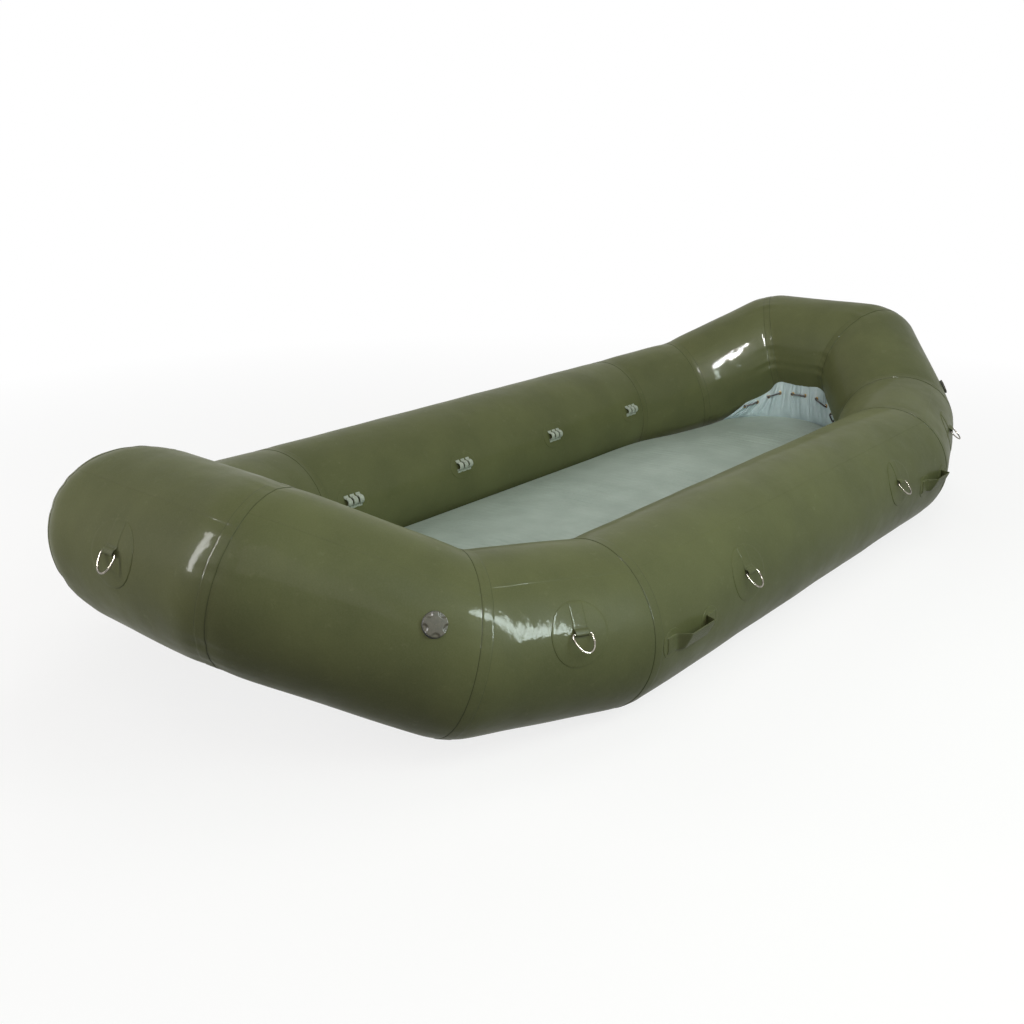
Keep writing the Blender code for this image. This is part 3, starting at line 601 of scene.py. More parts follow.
def make_ring(joint):
    """A D ring on its own body, and on the hull the patch, webbing and keeper that hold its bar."""
    tail = joint["name"].replace("ring_swing_", "")
    run = fitting_run(tail)
    bar = np.array(joint["pos_m"])
    x = -np.array(joint["axis"])
    station, angle = run.place(bar)
    z = run.radial(angle)
    y = np.cross(z, x)
    hang = END_RING_HANG if tail in END_WORD.values() else RING_HANG
    down = y * math.cos(hang) - z * math.sin(hang)
    flat = ring_wire()
    wire = bar + flat[:, :1] * x + flat[:, 1:] * down
    piece = wire_piece("ring_wire_" + tail, wire, RING_WIRE / 2, 14, STEEL, joint["child"])
    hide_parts("d_ring_" + tail)
    rel = bar - run.a - station * run.d
    bar_height = np.linalg.norm(rel) - TUBE_R
    spot = run, station, angle
    patch = make_patch("patch_" + tail, spot, PATCH_D, PATCH_D)
    half = TAB_W / 2 + 0.001
    raised_strip("webbing_ridge_" + tail, spot, (-half, half), (0.010, PATCH_D / 2 - 0.003),
                 TAB_T * 0.55, 0.0028)
    along, across, off, uv = band(keeper_path(bar_height), TAB_W, KEEPER_T)
    points, _ = laid(spot, across, along, off)
    grid_piece("keeper_" + tail, points, WEBBING, around=True, uv=uv, caps=True)
    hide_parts("ring_patch_" + tail)


def make_handle(sx, sy):
    """Carry handle: a stiff strap that stands off between two round pads.

    Seen from the side the strap is level between its bends and falls to the pads by an S curve.
    It leans: one edge stands off further than the other.
    """
    run = RUN["side_tube_" + SIDE_WORD[sy]]
    tail = END_WORD[sx] + "_" + SIDE_WORD[sy]
    station = run.length / 2 + sx * np.sign(run.d[0]) * HANDLE_X
    grip = HANDLE_SPAN / 2
    foot = grip + HANDLE_RAMP
    end = foot + PAD_D * 0.5
    x = np.linspace(-end, end, 121)
    rise = HANDLE_RISE * smooth((foot + 0.004 - np.abs(x)) / (HANDLE_RAMP * 1.15))
    path = np.stack([x, PATCH_T + HANDLE_T * 0.4 + rise], -1)
    along, across, off, uv = band(path, HANDLE_W, HANDLE_T)
    stand = PATCH_T + HANDLE_T
    lean = HANDLE_LEAN[0] + HANDLE_LEAN[1] * across / (HANDLE_W / 2)
    off = np.where(off > stand, stand + (off - stand) * lean, off)
    points, _ = laid((run, station, HANDLE_ANGLE), along, across, off)
    strap = grid_piece("handle_strap_" + tail, points, WEBBING, around=True, uv=uv,
                       caps=True)
    half = HANDLE_W / 2 + 0.003
    for word, sign in (("fore", 1), ("aft", -1)):
        pad = run, station + sign * (foot + PAD_D * 0.22), HANDLE_ANGLE
        make_patch("handle_pad_" + word + "_" + tail, pad, PAD_D, PAD_D)
        span = sorted((sign * (foot + 0.004), sign * (end + 0.004)))
        raised_strip("handle_ridge_" + word + "_" + tail, (run, station, HANDLE_ANGLE), span,
                     (-half, half), HANDLE_T * 0.9, 0.006)
    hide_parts("carry_handle_" + tail)


def make_thwart_loop(sy, i):
    """Three bands of webbing that arch over a lengthwise tunnel, on an oval patch."""
    run = RUN["side_tube_" + SIDE_WORD[sy]]
    tail = SIDE_WORD[sy] + "_" + str(i + 1)
    station = run.length / 2 + (i - 1.5) * LOOP_PITCH * np.sign(run.d[0])
    angle = np.pi - LOOP_ANGLE
    r = TUNNEL_R + BAND_T / 2
    base = PATCH_T + BAND_T / 2
    turn = np.linspace(0, np.pi, 26)
    arch = np.stack([r * np.cos(turn), base + 0.002 + r * np.sin(turn)], -1)
    outer = r + LOOP_FOOT + 0.002
    foot = np.array(((outer, base - 0.0032), (r + LOOP_FOOT * 0.6, base - 0.0016),
                     (r + LOOP_FOOT * 0.2, base)))
    path = resampled(np.vstack([foot, arch[1:-1], foot[::-1] * (-1, 1)]), 44, False)
    along, across, off, uv = band(path, BAND_W, BAND_T)
    bands = []
    for k in range(3):
        points, _ = laid((run, station + (k - 1) * BAND_STEP, angle), across, along, off)
        name = "thwart_bands_" + tail if k == 0 else "band_" + tail + "_" + str(k)
        bands.append(grid_piece(name, points, LOOP, around=True, uv=uv, caps=True))
    reach = BAND_STEP + BAND_W / 2
    spot = run, station, angle
    bands.append(raised_strip("foot_" + tail, spot, (-reach, reach), (TUNNEL_R - 0.001, outer), 0.0022,
                              0.0015, LOOP))
    piece = joined("thwart_bands_" + tail, bands)
    make_patch("thwart_patch_" + tail, spot, LOOP_PATCH_W, LOOP_PATCH_L)
    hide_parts("thwart_loop_" + tail)


# Inflation valves


def turned(profile, count):
    """A profile of radius and height turned round an upright axis, one row for each of its points."""
    profile = np.asarray(profile)
    r, a = profile[:, :1], turns(count)
    return np.stack([r * np.cos(a), r * np.sin(a), np.repeat(profile[:, 1:], count, 1)], -1)


def seated(points, axes):
    """Points of a shape about its own upright axis, set on the axis z with x level, at a place."""
    z, x, place = axes
    return points @ np.stack([x, np.cross(z, x), z], -1).T + place


def rounded(profile, radius):
    """A profile with each corner cut by a short arc of four points."""
    profile = np.asarray(profile, float)
    out = [profile[0]]
    for before, corner, after in zip(profile, profile[1:], profile[2:]):
        back, on = before - corner, after - corner
        reach = min(radius, np.linalg.norm(back) * 0.45, np.linalg.norm(on) * 0.45)
        p, q = corner + unit(back) * reach, corner + unit(on) * reach
        for u in (0, 1 / 3, 2 / 3, 1):
            out.append((1 - u) ** 2 * p + 2 * u * (1 - u) * corner + u * u * q)
    out.append(profile[-1])
    return np.array(out)


def scalloped_cap(low):
    """Grid of the screw cap: a disc with a round rim and five finger scoops in its top.

    The height is the full cap less the depth of the scoops, each a smooth step of the distance to
    a centre at the rim, so that a flat five pointed star is left between them.
    """
    radius = CAP_D / 2
    share = np.concatenate([np.linspace(0.02, 1, 52), np.full(7, 1.0)])
    a = turns(180)
    r = share[:, None] * radius * np.ones_like(a)
    step = 2 * np.pi / CAP_NOTCHES
    off = (a + step / 2) % step - step / 2
    reach = radius * 0.98
    gap = SCOOP_D / 2 - np.hypot(r * np.cos(off) - reach, r * np.sin(off))
    scoop = smooth(gap / (SCOOP_D * 0.24))
    fall = np.clip((r - radius + CAP_EDGE) / CAP_EDGE, 0, 1)
    dome = CAP_T - CAP_DOME * (r / radius) ** 2 - CAP_EDGE * (1 - np.sqrt(1 - fall ** 2))
    z = low + dome - scoop * SCOOP_DEPTH
    side = np.linspace(0, 1, 7)[:, None]
    z[52:] = z[51] * (1 - side) + low * side
    r[52:] *= 1 - 0.02 * side
    return np.stack([r * np.cos(a + step / 2), r * np.sin(a + step / 2), z], -1)


def make_valve(joint):
    """Valve flange and barrel on the hull, with its screw cap and its push plunger."""
    tail = joint["name"].replace("cap_turn_", "")
    z = unit(np.array(joint["axis"]))
    run = RUN["quarter_tube_" + tail]
    axes = (z, unit(run.d - z * (run.d @ z)), np.array(joint["pos_m"]))
    outer, socket = FLANGE_D / 2, SOCKET_D / 2
    body = [(outer + 0.006, -0.0034), (outer + 0.0035, -0.0006), (outer + 0.001, FLANGE_T),
            (socket + 0.0006, FLANGE_T), (socket, FLANGE_T - 0.001), (socket, -0.029), (0.012, -0.030),
            (0.012, -0.034), (0.025, -0.034), (0.025, -0.010)]
    piece = grid_piece("valve_flange_" + tail, seated(turned(rounded(body, 0.0014), 64), axes), VALVE,
                       around=True)
    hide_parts("valve_body_" + tail)
    low = FLANGE_T + GAP
    plug = ((socket - 0.0004, low), (socket - 0.0004, low - PLUG_DEPTH))
    points = seated(np.concatenate([scalloped_cap(low), turned(plug, 180)]), axes)
    cap = grid_piece("screw_cap_" + tail, points, CAP, body="valve_cap_" + tail,
                     around=True, caps=True)
    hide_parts("valve_cap_" + tail)
    materials = frame["nodes"]["valve_plunger_" + tail].data.materials
    materials.clear()
    materials.append(CAP)


# Floor

EDGE_R = FLOOR_T / 2
EDGE_Z = FLOOR_LIFT + EDGE_R
NODE1 = np.array((SIDE_HALF, BEAM_HALF, CENTRE_Z))
NODE2 = NODE1 + SHOULDER


def rocker(x):
    """How far the floor has risen at x, following the upswept ends: a square law."""
    span = FLOOR_TIP - FLOOR_ROCKER_FROM
    return FLOOR_ROCKER * np.maximum(0, (np.abs(x) - FLOOR_ROCKER_FROM) / span) ** 2


def tube_reach(node):
    """Level distance from a tube's centre line at a node to the floor's edge centre."""
    return math.sqrt((FRAME_R + EDGE_R + GAP) ** 2 - (node[2] - EDGE_Z - rocker(node[0])) ** 2)


def floor_edge():
    """Centre line of the floor's round edge with its outward normals, in order round the floor.

    Straight along the side tubes, a bend beside each shoulder, and an ellipse round each end.
    """
    y_side = BEAM_HALF - tube_reach(NODE1)
    slope = unit(SHOULDER[:2])
    inward = np.array((slope[1], -slope[0]))
    start = NODE1[:2] + inward * tube_reach(NODE1)
    x_corner = start[0] + (start[1] - y_side) * slope[0] / -slope[1]
    last = NODE2[:2] + inward * (tube_reach(NODE2) + EDGE_R * 0.35)
    bend = np.array((x_corner * 0.92, y_side - EDGE_R * 0.02))
    between = (bend + last) / 2 + (0, EDGE_R * 0.06)
    a = np.pi / 2 * np.arange(6) / 5
    y_end = last[1] * np.append(np.cos(a[:5]) ** 1.15, 0)
    end = np.stack([last[0] + (FLOOR_TIP - last[0]) * np.sin(a), y_end], -1)
    quarter = np.vstack([[(0, y_side), (x_corner * 0.5, y_side)], [bend, between], end])
    loop = np.vstack([quarter, quarter[-2::-1] * (1, -1), quarter[1:] * (-1, -1),
                      quarter[-2:0:-1] * (-1, 1)])
    along = unit(np.roll(loop, -1, 0) - np.roll(loop, 1, 0))
    return loop, np.stack([-along[:, 1], along[:, 0]], -1)


EDGE, EDGE_N = floor_edge()
TIP_INDEX = len(EDGE) // 4


def edge_out(i, lift, off):
    """Point on the floor's round edge, at an angle above level and a height off its skin."""
    i = i % len(EDGE)
    reach = EDGE_R + off
    lift = math.radians(lift)
    flat = EDGE[i] + EDGE_N[i] * reach * math.cos(lift)
    return np.array((*flat, EDGE_Z + rocker(EDGE[i][0]) + reach * math.sin(lift)))


def cloth_wrinkles(x, y):
    """Fine wrinkles that run across the floor: sines along it whose phase drifts with y.

    Two wave lengths, each in bands that come and go, a few sharper creases where the first sine
    passes its peak, and a broad swell.
    """
    drift = 0.012 * np.sin(7 * y + 3 * x) + 0.007 * np.sin(19 * y - 5 * x + 1)
    first = np.sin(2 * np.pi * (x + drift) / 0.034)
    second = np.sin(2 * np.pi * (x + 1.7 * drift + 0.03 * y) / 0.0215 + 0.8)
    here = 0.55 + 0.45 * np.sin(6.1 * x + 2.3 * np.sin(3.1 * y))
    there = 0.5 + 0.5 * np.sin(9.7 * x - 4.1 * y + 2)
    crease = np.maximum(0, first) ** 6
    broad = np.sin(2 * np.pi * (x + 2.4 * drift) / 0.21 + 0.5) * np.sin(4.3 * y + 1.1)
    waves = (first * here, second * there, crease * there, broad)
    return sum(height * wave for height, wave in zip(WRINKLES, waves))


def make_floor():
    """Inflated floor: sections from tip to tip, each with a crowned top, round edges and a flat base."""
    half = np.vstack([EDGE[-TIP_INDEX:], EDGE[:TIP_INDEX + 1]])
    port = closed_spline(np.vstack([half, half[-2:0:-1] * (1, -1)]), 40)[:40 * (len(half) - 1) + 1]
    port = resampled(port, 760, False)
    port[[0, -1], 1] = 0
    along = unit(np.gradient(port, axis=0))
    normal = np.stack([-along[:, 1], along[:, 0]], -1)
    normal[[0, -1]] = ((-1, 0), (1, 0))
    v = np.sin(np.linspace(np.pi / 2, -np.pi / 2, 64))
    x = np.repeat(port[:, :1], len(v), 1)
    y = port[:, 1:] * v
    rise = rocker(x)
    crown = FLOOR_CROWN * (1 - v ** 2) * np.maximum(0, 1 - (x / FLOOR_TIP) ** 6)
    wrinkle = cloth_wrinkles(x, y) * smooth((1 - np.abs(v)) / 0.05)
    top = np.stack([x, y, EDGE_Z + EDGE_R + rise + crown + wrinkle], -1)
    turn = np.linspace(np.pi / 2, -np.pi / 2, 12)[1:-1]
    out = np.cos(turn)[None, :, None] * normal[:, None] * EDGE_R
    level = np.broadcast_to(EDGE_Z + rocker(port[:, :1]) + EDGE_R * np.sin(turn), out.shape[:2])
    edge = np.concatenate([port[:, None] + out, level[..., None]], -1)
    base = np.stack([x, y, EDGE_Z - EDGE_R + rise], -1)[:, ::7]
    points = np.concatenate([top, edge * (1, -1, 1), base[:, ::-1], edge[:, ::-1]], 1)
    away = points - np.stack([points[..., 0], points[..., 1] * 0.9, EDGE_Z + rocker(points[..., 0])], -1)
    closing = np.hstack([points, points[:, :1]])
    arc = np.cumsum(np.linalg.norm(np.diff(closing, axis=1, prepend=closing[:, :1]), axis=2), 1)
    uv = (closing[..., 0], arc)
    piece = grid_piece("floor_mattress", points, FLOOR_CLOTH, around=True, uv=uv, away=away)
    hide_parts("floor")
    rx, ry = RELIEF
    crown = FLOOR_CROWN * (1 - (ry / EDGE[0][1]) ** 2) * (1 - (rx / FLOOR_TIP) ** 6)
    place = (rx, ry, EDGE_Z + EDGE_R + rocker(rx) + crown)
    r, h = RELIEF_D / 2, RELIEF_H
    collar = [(r + 0.003, -0.006), (r, -0.001), (r, h * 0.6), (r * 0.86, h), (r * 0.72, h),
              (r * 0.66, h * 0.45), (r * 0.30, h * 0.45), (r * 0.22, h * 0.8), (0.0006, h * 0.8)]
    points = seated(turned(rounded(collar, 0.0012), 64), ((0, 0, 1), (1, 0, 0), place))
    grid_piece("relief_collar", points, VALVE, around=True, caps=True)


# Curtains and lacing


def open_spline(points, count):
    """A smooth open curve through points, resampled to count even steps."""
    points = np.array(points)
    ends = np.vstack([2 * points[0] - points[1], points, 2 * points[-1] - points[-2]])
    full = closed_spline(ends, 16)[16:16 * len(points)]
    return resampled(np.vstack([full, points[-1:]]), count, False)


def curtain_lines():
    """Top line on the end tubes and foot line on the floor's edge, from port to starboard."""
    quarter, end = RUN["quarter_tube_bow_port"], RUN["end_tube_bow"]
    angle = np.pi + CURTAIN_TOP_ANGLE
    lift = GAP + CURTAIN_T / 2
    half = [skin(run, run.length * share, angle, lift)
            for run, share in ((quarter, 0.45), (quarter, 0.68), (end, 0.30))]
    top = half + [p * (1, -1, 1) for p in half[::-1]]
    foot = [edge_out(i, 50, lift) for i in range(TIP_INDEX - 4, TIP_INDEX + 5)]
    return open_spline(top, 721), open_spline(foot, 721)


TOP_LINE, FOOT_LINE = curtain_lines()


def curtain_point(u, v, off=0.0, gather=1.0):
    """Point on the gathered curtain: u from port to starboard, v from the tube to the floor.

    A straight line from the top line to the foot line, plus a belly, the ten main folds, and
    finer gathers that the lacing holds flat at the top and the glue line at the foot. The cloth
    is flat round each hole.
    """
    u, v = np.broadcast_arrays(np.asarray(u, float), v)
    share = np.linspace(0, 1, len(TOP_LINE))
    a = np.stack([np.interp(u, share, TOP_LINE[:, k]) for k in range(3)], -1)
    b = np.stack([np.interp(u, share, FOOT_LINE[:, k]) for k in range(3)], -1)
    p = a + (b - a) * v[..., None]
    normal = np.array((FLOOR_TIP * 0.7, 0, 0)) - p
    normal[..., 2] = 0
    normal = unit(normal)
    hang = np.sin(np.pi * np.clip(v * 1.05, 0, 1))
    main = np.sin(2 * np.pi * CURTAIN_FOLDS * u) * hang
    drift = 0.35 * np.sin(9 * u + 2) + 0.25 * v
    fine = np.sin(2 * np.pi * 27 * u + drift * 3) * (0.45 + 0.55 * np.sin(13 * u + 1) ** 2)
    sharp = np.abs(np.sin(np.pi * 41 * u + drift * 2)) ** 0.6 - 0.6
    near_hole = np.exp(-((u * HOLES) % 1 - 0.5) ** 2 / 0.03 - ((v - HOLE_V) / 0.10) ** 2)
    extra = gather * hang * (1 - near_hole) * CURTAIN_GATHER * (fine + sharp)
    wave = CURTAIN_FOLD * main + CURTAIN_BELLY * np.sin(np.pi * v) + extra + off
    return p + normal * wave[..., None]


def hole_u(i):
    """Share of the curtain's width at which hole i sits."""
    return (i + 0.5) / HOLES


def make_curtain(sx):
    """One curtain: a single sheet with ten holes, and a brass grommet in each hole."""
    tail = END_WORD[sx]
    u, v = np.meshgrid(np.linspace(0, 1, 421), np.linspace(0, 1, 61), indexing="ij")
    points = curtain_point(u, v) * (sx, 1, 1)
    wide = np.linalg.norm(np.diff(points, axis=0), axis=-1).sum(0).mean()
    tall = np.linalg.norm(np.diff(points, axis=1), axis=-1).sum(1).mean()
    keep = np.ones(u.shape, bool)
    for i in range(HOLES):
        hole = curtain_point(hole_u(i), HOLE_V) * (sx, 1, 1)
        keep &= np.linalg.norm(points - hole, axis=-1) > HOLE_D / 2
    piece = grid_piece("curtain_cloth_" + tail, points, CURTAIN, uv=(u * wide, v * tall),
                       away=(-sx, 0, 0.4), keep=keep)
    wall = piece.modifiers.new("thickness", "SOLIDIFY")
    wall.thickness = CURTAIN_WALL
    wall.offset = 0
    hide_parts("lacing_curtain_" + tail)
    a = turns(14)
    profile = np.stack([GROMMET_R + GROMMET_HALF[0] * np.cos(a), GROMMET_HALF[1] * np.sin(a)], -1)
    flat = turned(profile, 36)
    spoke = flat - unit(flat * (1, 1, 0)) * GROMMET_R
    rings = []
    for i in range(HOLES):
        middle = curtain_point(hole_u(i), HOLE_V) * (sx, 1, 1)
        z = unit(curtain_point(hole_u(i), HOLE_V, 0.01) * (sx, 1, 1) - middle)
        x = unit(np.cross((0, 0, 1), z))
        rings.append(grid_piece("grommet_" + tail + "_" + str(i), seated(flat, (z, x, middle)), BRASS,
                                around=True, loop=True, away=seated(spoke, (z, x, 0))))
    joined("grommets_" + tail, rings)


def cord_half(sx):
    """Lacing through one curtain: in front of the cloth between holes 1 and 2, 3 and 4 and so on."""
    near = (CURTAIN_T + CORD_D) / 2 + CURTAIN_FOLD * 0.9
    points = []
    for i in range(HOLES):
        first = 1 if i % 2 else -1
        points.append(curtain_point(hole_u(i), HOLE_V, first * near, 0))
        points.append(curtain_point(hole_u(i), HOLE_V, -first * near, 0))
        if i % 2 and i < HOLES - 1:
            points.append(curtain_point((hole_u(i) + hole_u(i + 1)) / 2, HOLE_V, -near - CURTAIN_FOLD, 0))
    return [p * (sx, 1, 1) for p in points]


def make_cord():
    """One cord: laced through the bow curtain, along the floor's edge and through the stern."""
    off = CORD_D / 2 + 4 * GAP
    lifts = [18, -18] + [-54] * (2 * TIP_INDEX - 9) + [-18, 18]
    points = cord_half(1)
    points += [edge_out(TIP_INDEX + 3 + k, lift, off) for k, lift in enumerate(lifts)]
    points += cord_half(-1)[::-1]
    points += [edge_out(3 * TIP_INDEX + 3 + k, lift, off) for k, lift in enumerate(lifts)]
    path = resampled(closed_spline(np.array(points), 10), 1500, True)
    piece = wire_piece("lacing_cord", path, CORD_D / 2, 12, CORD)
    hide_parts("floor_lacing_cord")


# Materials


def linear(code):
    """Linear RGBA of an sRGB hex colour."""
    parts = [int(code[i:i + 2], 16) / 255 for i in (1, 3, 5)]
    return [c / 12.92 if c <= 0.04045 else ((c + 0.055) / 1.055) ** 2.4 for c in parts] + [1.0]


NOISE = "ShaderNodeTexNoise"
SPREAD = "ShaderNodeMapRange"
MIX = "ShaderNodeMix"
MATH = "ShaderNodeMath"
BUMP = "ShaderNodeBump"
SPLIT = "ShaderNodeSeparateXYZ"
METRE_MM = 1000


def blank(owner):
    """The emptied node tree of a material or the world."""
    owner.use_nodes = True
    owner.node_tree.nodes.clear()
    return owner.node_tree


def feed(tree, node, inputs):
    """Gives a node's inputs a link where the value is a socket, and the value itself elsewhere."""
    for socket, value in inputs.items():
        if isinstance(value, bpy.types.NodeSocket):
            tree.links.new(value, node.inputs[socket])
        else:
            node.inputs[socket].default_value = value


def add(tree, kind, inputs=None, out=None, **settings):
    """A node with its settings, its input values and its links, or one of its outputs."""
    node = tree.nodes.new(kind)
    for key, value in settings.items():
        setattr(node, key, value)
    feed(tree, node, inputs or {})
    return node if out is None else node.outputs[out]


def surface(name, sockets):
    """A new material: itself, its tree and Principled shader, what its noises share, and its UV."""
    mat = bpy.data.materials.new(name)
    tree = blank(mat)
    shader = add(tree, "ShaderNodeBsdfPrincipled", sockets)
    add(tree, "ShaderNodeOutputMaterial", {"Surface": shader.outputs[0]})
    where = add(tree, "ShaderNodeTexCoord")
    return mat, tree, shader, {"Vector": where.outputs["Object"], "Roughness": 0.55}, where.outputs["UV"]


def tone(tree, value, low, high, base, over, most=1.0):
    """A colour that goes from base towards over, by most, as a value goes from low to high."""
    share = add(tree, SPREAD, {0: value, 1: low, 2: high, 4: most}, 0)
    pair = [linear(colour) if isinstance(colour, str) else colour for colour in (base, over)]
    return add(tree, MIX, {0: share, 6: pair[0], 7: pair[1]}, 2, data_type="RGBA")


def uv_waves(tree, uv, rates):
    """Sines of the two UV coordinates, with these turns in a metre."""
    parts = add(tree, SPLIT, {0: uv})
    waves = []
    for axis, rate in enumerate(rates):
        phase = add(tree, MATH, {0: parts.outputs[axis], 1: 2 * math.pi * rate}, 0, operation="MULTIPLY")
        waves.append(add(tree, MATH, {0: phase}, 0, operation="SINE"))
    return waves


def coated_fabric(name, deep, light, edge_half=None):
    """Urethane coated polyester, calendered: an even olive skin with a wet looking top coat.

    The eye gets broad tonal drift where the coat is thicker, a fine orange peel, faint paler
    rubs, and on a tape the dark line of solvent cement at both edges.
    """
    mat, tree, shader, grain, uv = surface(name, {
        "IOR": 1.5, "Specular IOR Level": SPECULAR, "Coat Weight": COAT_WEIGHT,
        "Coat Roughness": COAT_ROUGHNESS, "Coat IOR": 1.42})
    colour = deep
    for mm, detail, rough, low, high, over, most in COAT_LAYERS:
        spots = {**grain, "Scale": METRE_MM / mm, "Detail": detail, "Roughness": rough}
        colour = tone(tree, add(tree, NOISE, spots, 0), low, high, colour, over or light, most)
    if edge_half is not None:
        across = add(tree, SPLIT, {0: uv}, 0)
        away = add(tree, MATH, {0: across}, 0, operation="ABSOLUTE")
        colour = tone(tree, away, edge_half * 0.86, edge_half, colour, CEMENT, CEMENT_SHARE)
    rough = add(tree, NOISE, {**grain, "Scale": METRE_MM / 90, "Detail": 5}, 0)
    rough = add(tree, SPREAD, {0: rough, 1: 0.3, 2: 0.7, 3: ROUGH_LOW, 4: ROUGH_HIGH}, 0)
    peel = add(tree, NOISE, {**grain, "Scale": METRE_MM / 5, "Detail": 2, "Roughness": 0.5}, 0)
    lumps = add(tree, NOISE, {**grain, "Scale": METRE_MM / 46, "Detail": 3}, 0)
    soft = add(tree, BUMP, {"Height": lumps, "Distance": 0.0018, "Strength": 0.6}, 0)
    fine = add(tree, BUMP, {"Height": peel, "Distance": 0.00016, "Strength": 0.6, "Normal": soft}, 0)
    feed(tree, shader, {"Base Color": colour, "Roughness": rough, "Normal": fine, "Coat Normal": soft})
    return mat


def webbing(name, deep, light, rib_mm, rough, coat=0.0):
    """Woven nylon webbing: cross ribs with a fine twill between, and random worn patches. The colour is
    darker in the grooves of the bump: painted shade.
    """
    mat, tree, shader, grain, uv = surface(name, {
        "Roughness": rough, "IOR": 1.5, "Specular IOR Level": SPECULAR * 2, "Coat Weight": coat,
        "Coat Roughness": 0.25})
    rate = METRE_MM / rib_mm
    rib, twill = uv_waves(tree, uv, (rate, rate * 0.8))
    height = add(tree, MATH, {0: twill, 1: 0.35, 2: rib}, 0, operation="MULTIPLY_ADD")
    worn = add(tree, NOISE, {**grain, "Scale": METRE_MM / 22, "Detail": 4}, 0)
    # The rib and twill height also sets the colour, darker in the grooves: painted shade, over random worn
    # patches.
    shade = add(tree, MATH, {0: worn, 1: 1.6, 2: height}, 0, operation="MULTIPLY_ADD")
    bump = add(tree, BUMP, {"Height": height, "Distance": 0.00035, "Strength": 0.55}, 0)
    feed(tree, shader, {"Base Color": tone(tree, shade, -0.9, 2.0, deep, light), "Normal": bump})
    return mat


def coated_cloth(name, deep, light, thread_mm, rough_low, rough_high):
    """Thin coated cloth: the threads show through the coating as a square weave, with soft blotches.

    The weave is two crossed sines of the piece's own UV map, at the thread spacing. It is the bump and also
    a small part of the colour, darker between the threads: painted shade.
    """
    mat, tree, shader, grain, uv = surface(name, {"IOR": 1.48, "Sheen Weight": 0.10})
    warp, weft = uv_waves(tree, uv, (METRE_MM / thread_mm,) * 2)
    weave = add(tree, MATH, {0: warp, 1: weft}, 0, operation="MULTIPLY")
    blotch = add(tree, NOISE, {**grain, "Scale": METRE_MM / 150, "Detail": 5}, 0)
    # A little of the weave's height goes into the colour, darker between the threads: painted shade over
    # random blotches.
    shade = add(tree, MATH, {0: weave, 1: 0.045, 2: blotch}, 0, operation="MULTIPLY_ADD")
    rough = add(tree, NOISE, {**grain, "Scale": METRE_MM / 60, "Detail": 4}, 0)
    rough = add(tree, SPREAD, {0: rough, 1: 0.3, 2: 0.7, 3: rough_low, 4: rough_high}, 0)
    lumps = add(tree, NOISE, {**grain, "Scale": METRE_MM / 30, "Detail": 4}, 0)
    bump = add(tree, BUMP, {"Height": weave, "Distance": 0.00012, "Strength": 0.5}, 0)
    soft = add(tree, BUMP, {"Height": lumps, "Distance": 0.0010, "Strength": 0.5, "Normal": bump}, 0)
    feed(tree, shader, {"Base Color": tone(tree, shade, 0.32, 0.68, deep, light), "Roughness": rough,
                        "Normal": soft})
    return mat


def worn_solid(name, deep, light, sockets, rub, dull, grit):
    """Moulded nylon or drawn metal, worn by hands.

    Nylon has a fine spark grain and is paler where it is rubbed. Metal is polished and bright,
    with fine scratches that break the reflection. rub is the wear's size in mm, detail and
    highest value, dull the roughness at its low and high end, and grit the grain's size in mm,
    detail, depth in metres and strength.
    """
    mat, tree, shader, grain, _ = surface(name, sockets)
    worn = add(tree, NOISE, {**grain, "Scale": METRE_MM / rub[0], "Detail": rub[1]}, 0)
    rough = add(tree, SPREAD, {0: worn, 1: 0.3, 2: 0.7, 3: dull[0], 4: dull[1]}, 0)
    fine = add(tree, NOISE, {**grain, "Scale": METRE_MM / grit[0], "Detail": grit[1]}, 0)
    bump = add(tree, BUMP, {"Height": fine, "Distance": grit[2], "Strength": grit[3]}, 0)
    feed(tree, shader, {"Base Color": tone(tree, worn, 0.35, rub[2], deep, light), "Roughness": rough,
                        "Normal": bump})
    return mat


def braided_cord(name, deep, light):
    """Braided polyester cord: two spirals of the UV map cross, and their product is the braid. It is the
    bump and also the colour, darker in its hollows: painted shade.
    """
    mat, tree, shader, _, uv = surface(name, {"Roughness": 0.72, "IOR": 1.5})
    parts = add(tree, SPLIT, {0: uv})
    waves = []
    for sign in (1, -1):
        rate = sign * 2 * BRAID_STRANDS / CORD_D
        turn = add(tree, MATH, {0: parts.outputs[1], 1: rate}, 0, operation="MULTIPLY")
        run = add(tree, MATH, {0: parts.outputs[0], 1: 2 * math.pi / BRAID_PITCH, 2: turn}, 0,
                  operation="MULTIPLY_ADD")
        waves.append(add(tree, MATH, {0: run}, 0, operation="SINE"))
    braid = add(tree, MATH, {0: waves[0], 1: waves[1]}, 0, operation="MULTIPLY")
    bump = add(tree, BUMP, {"Height": braid, "Distance": 0.0005, "Strength": 0.7}, 0)
    # The colour follows the braid's height, darker in the hollows between strands: painted shade.
    feed(tree, shader, {"Base Color": tone(tree, braid, -1, 1, deep, light), "Normal": bump})
    return mat


COAT_WEIGHT = 0.11
SPECULAR = 0.04
COAT_ROUGHNESS = 0.08
ROUGH_LOW, ROUGH_HIGH = 0.42, 0.56
DUST = "#7c8060"
# Size in mm, detail, roughness, the noise's low and high, colour over the last one, and its share.
COAT_LAYERS = ((260, 4, 0.55, 0.35, 0.65, None, 1.0), (38, 6, 0.7, 0.60, 0.78, DUST, 0.30),
               (4, 2, 0.55, 0.35, 0.70, DUST, 0.10))
CEMENT = "#3a3d2a"
CEMENT_SHARE = 0.8
BRAID_STRANDS = 4
BRAID_PITCH = 0.006

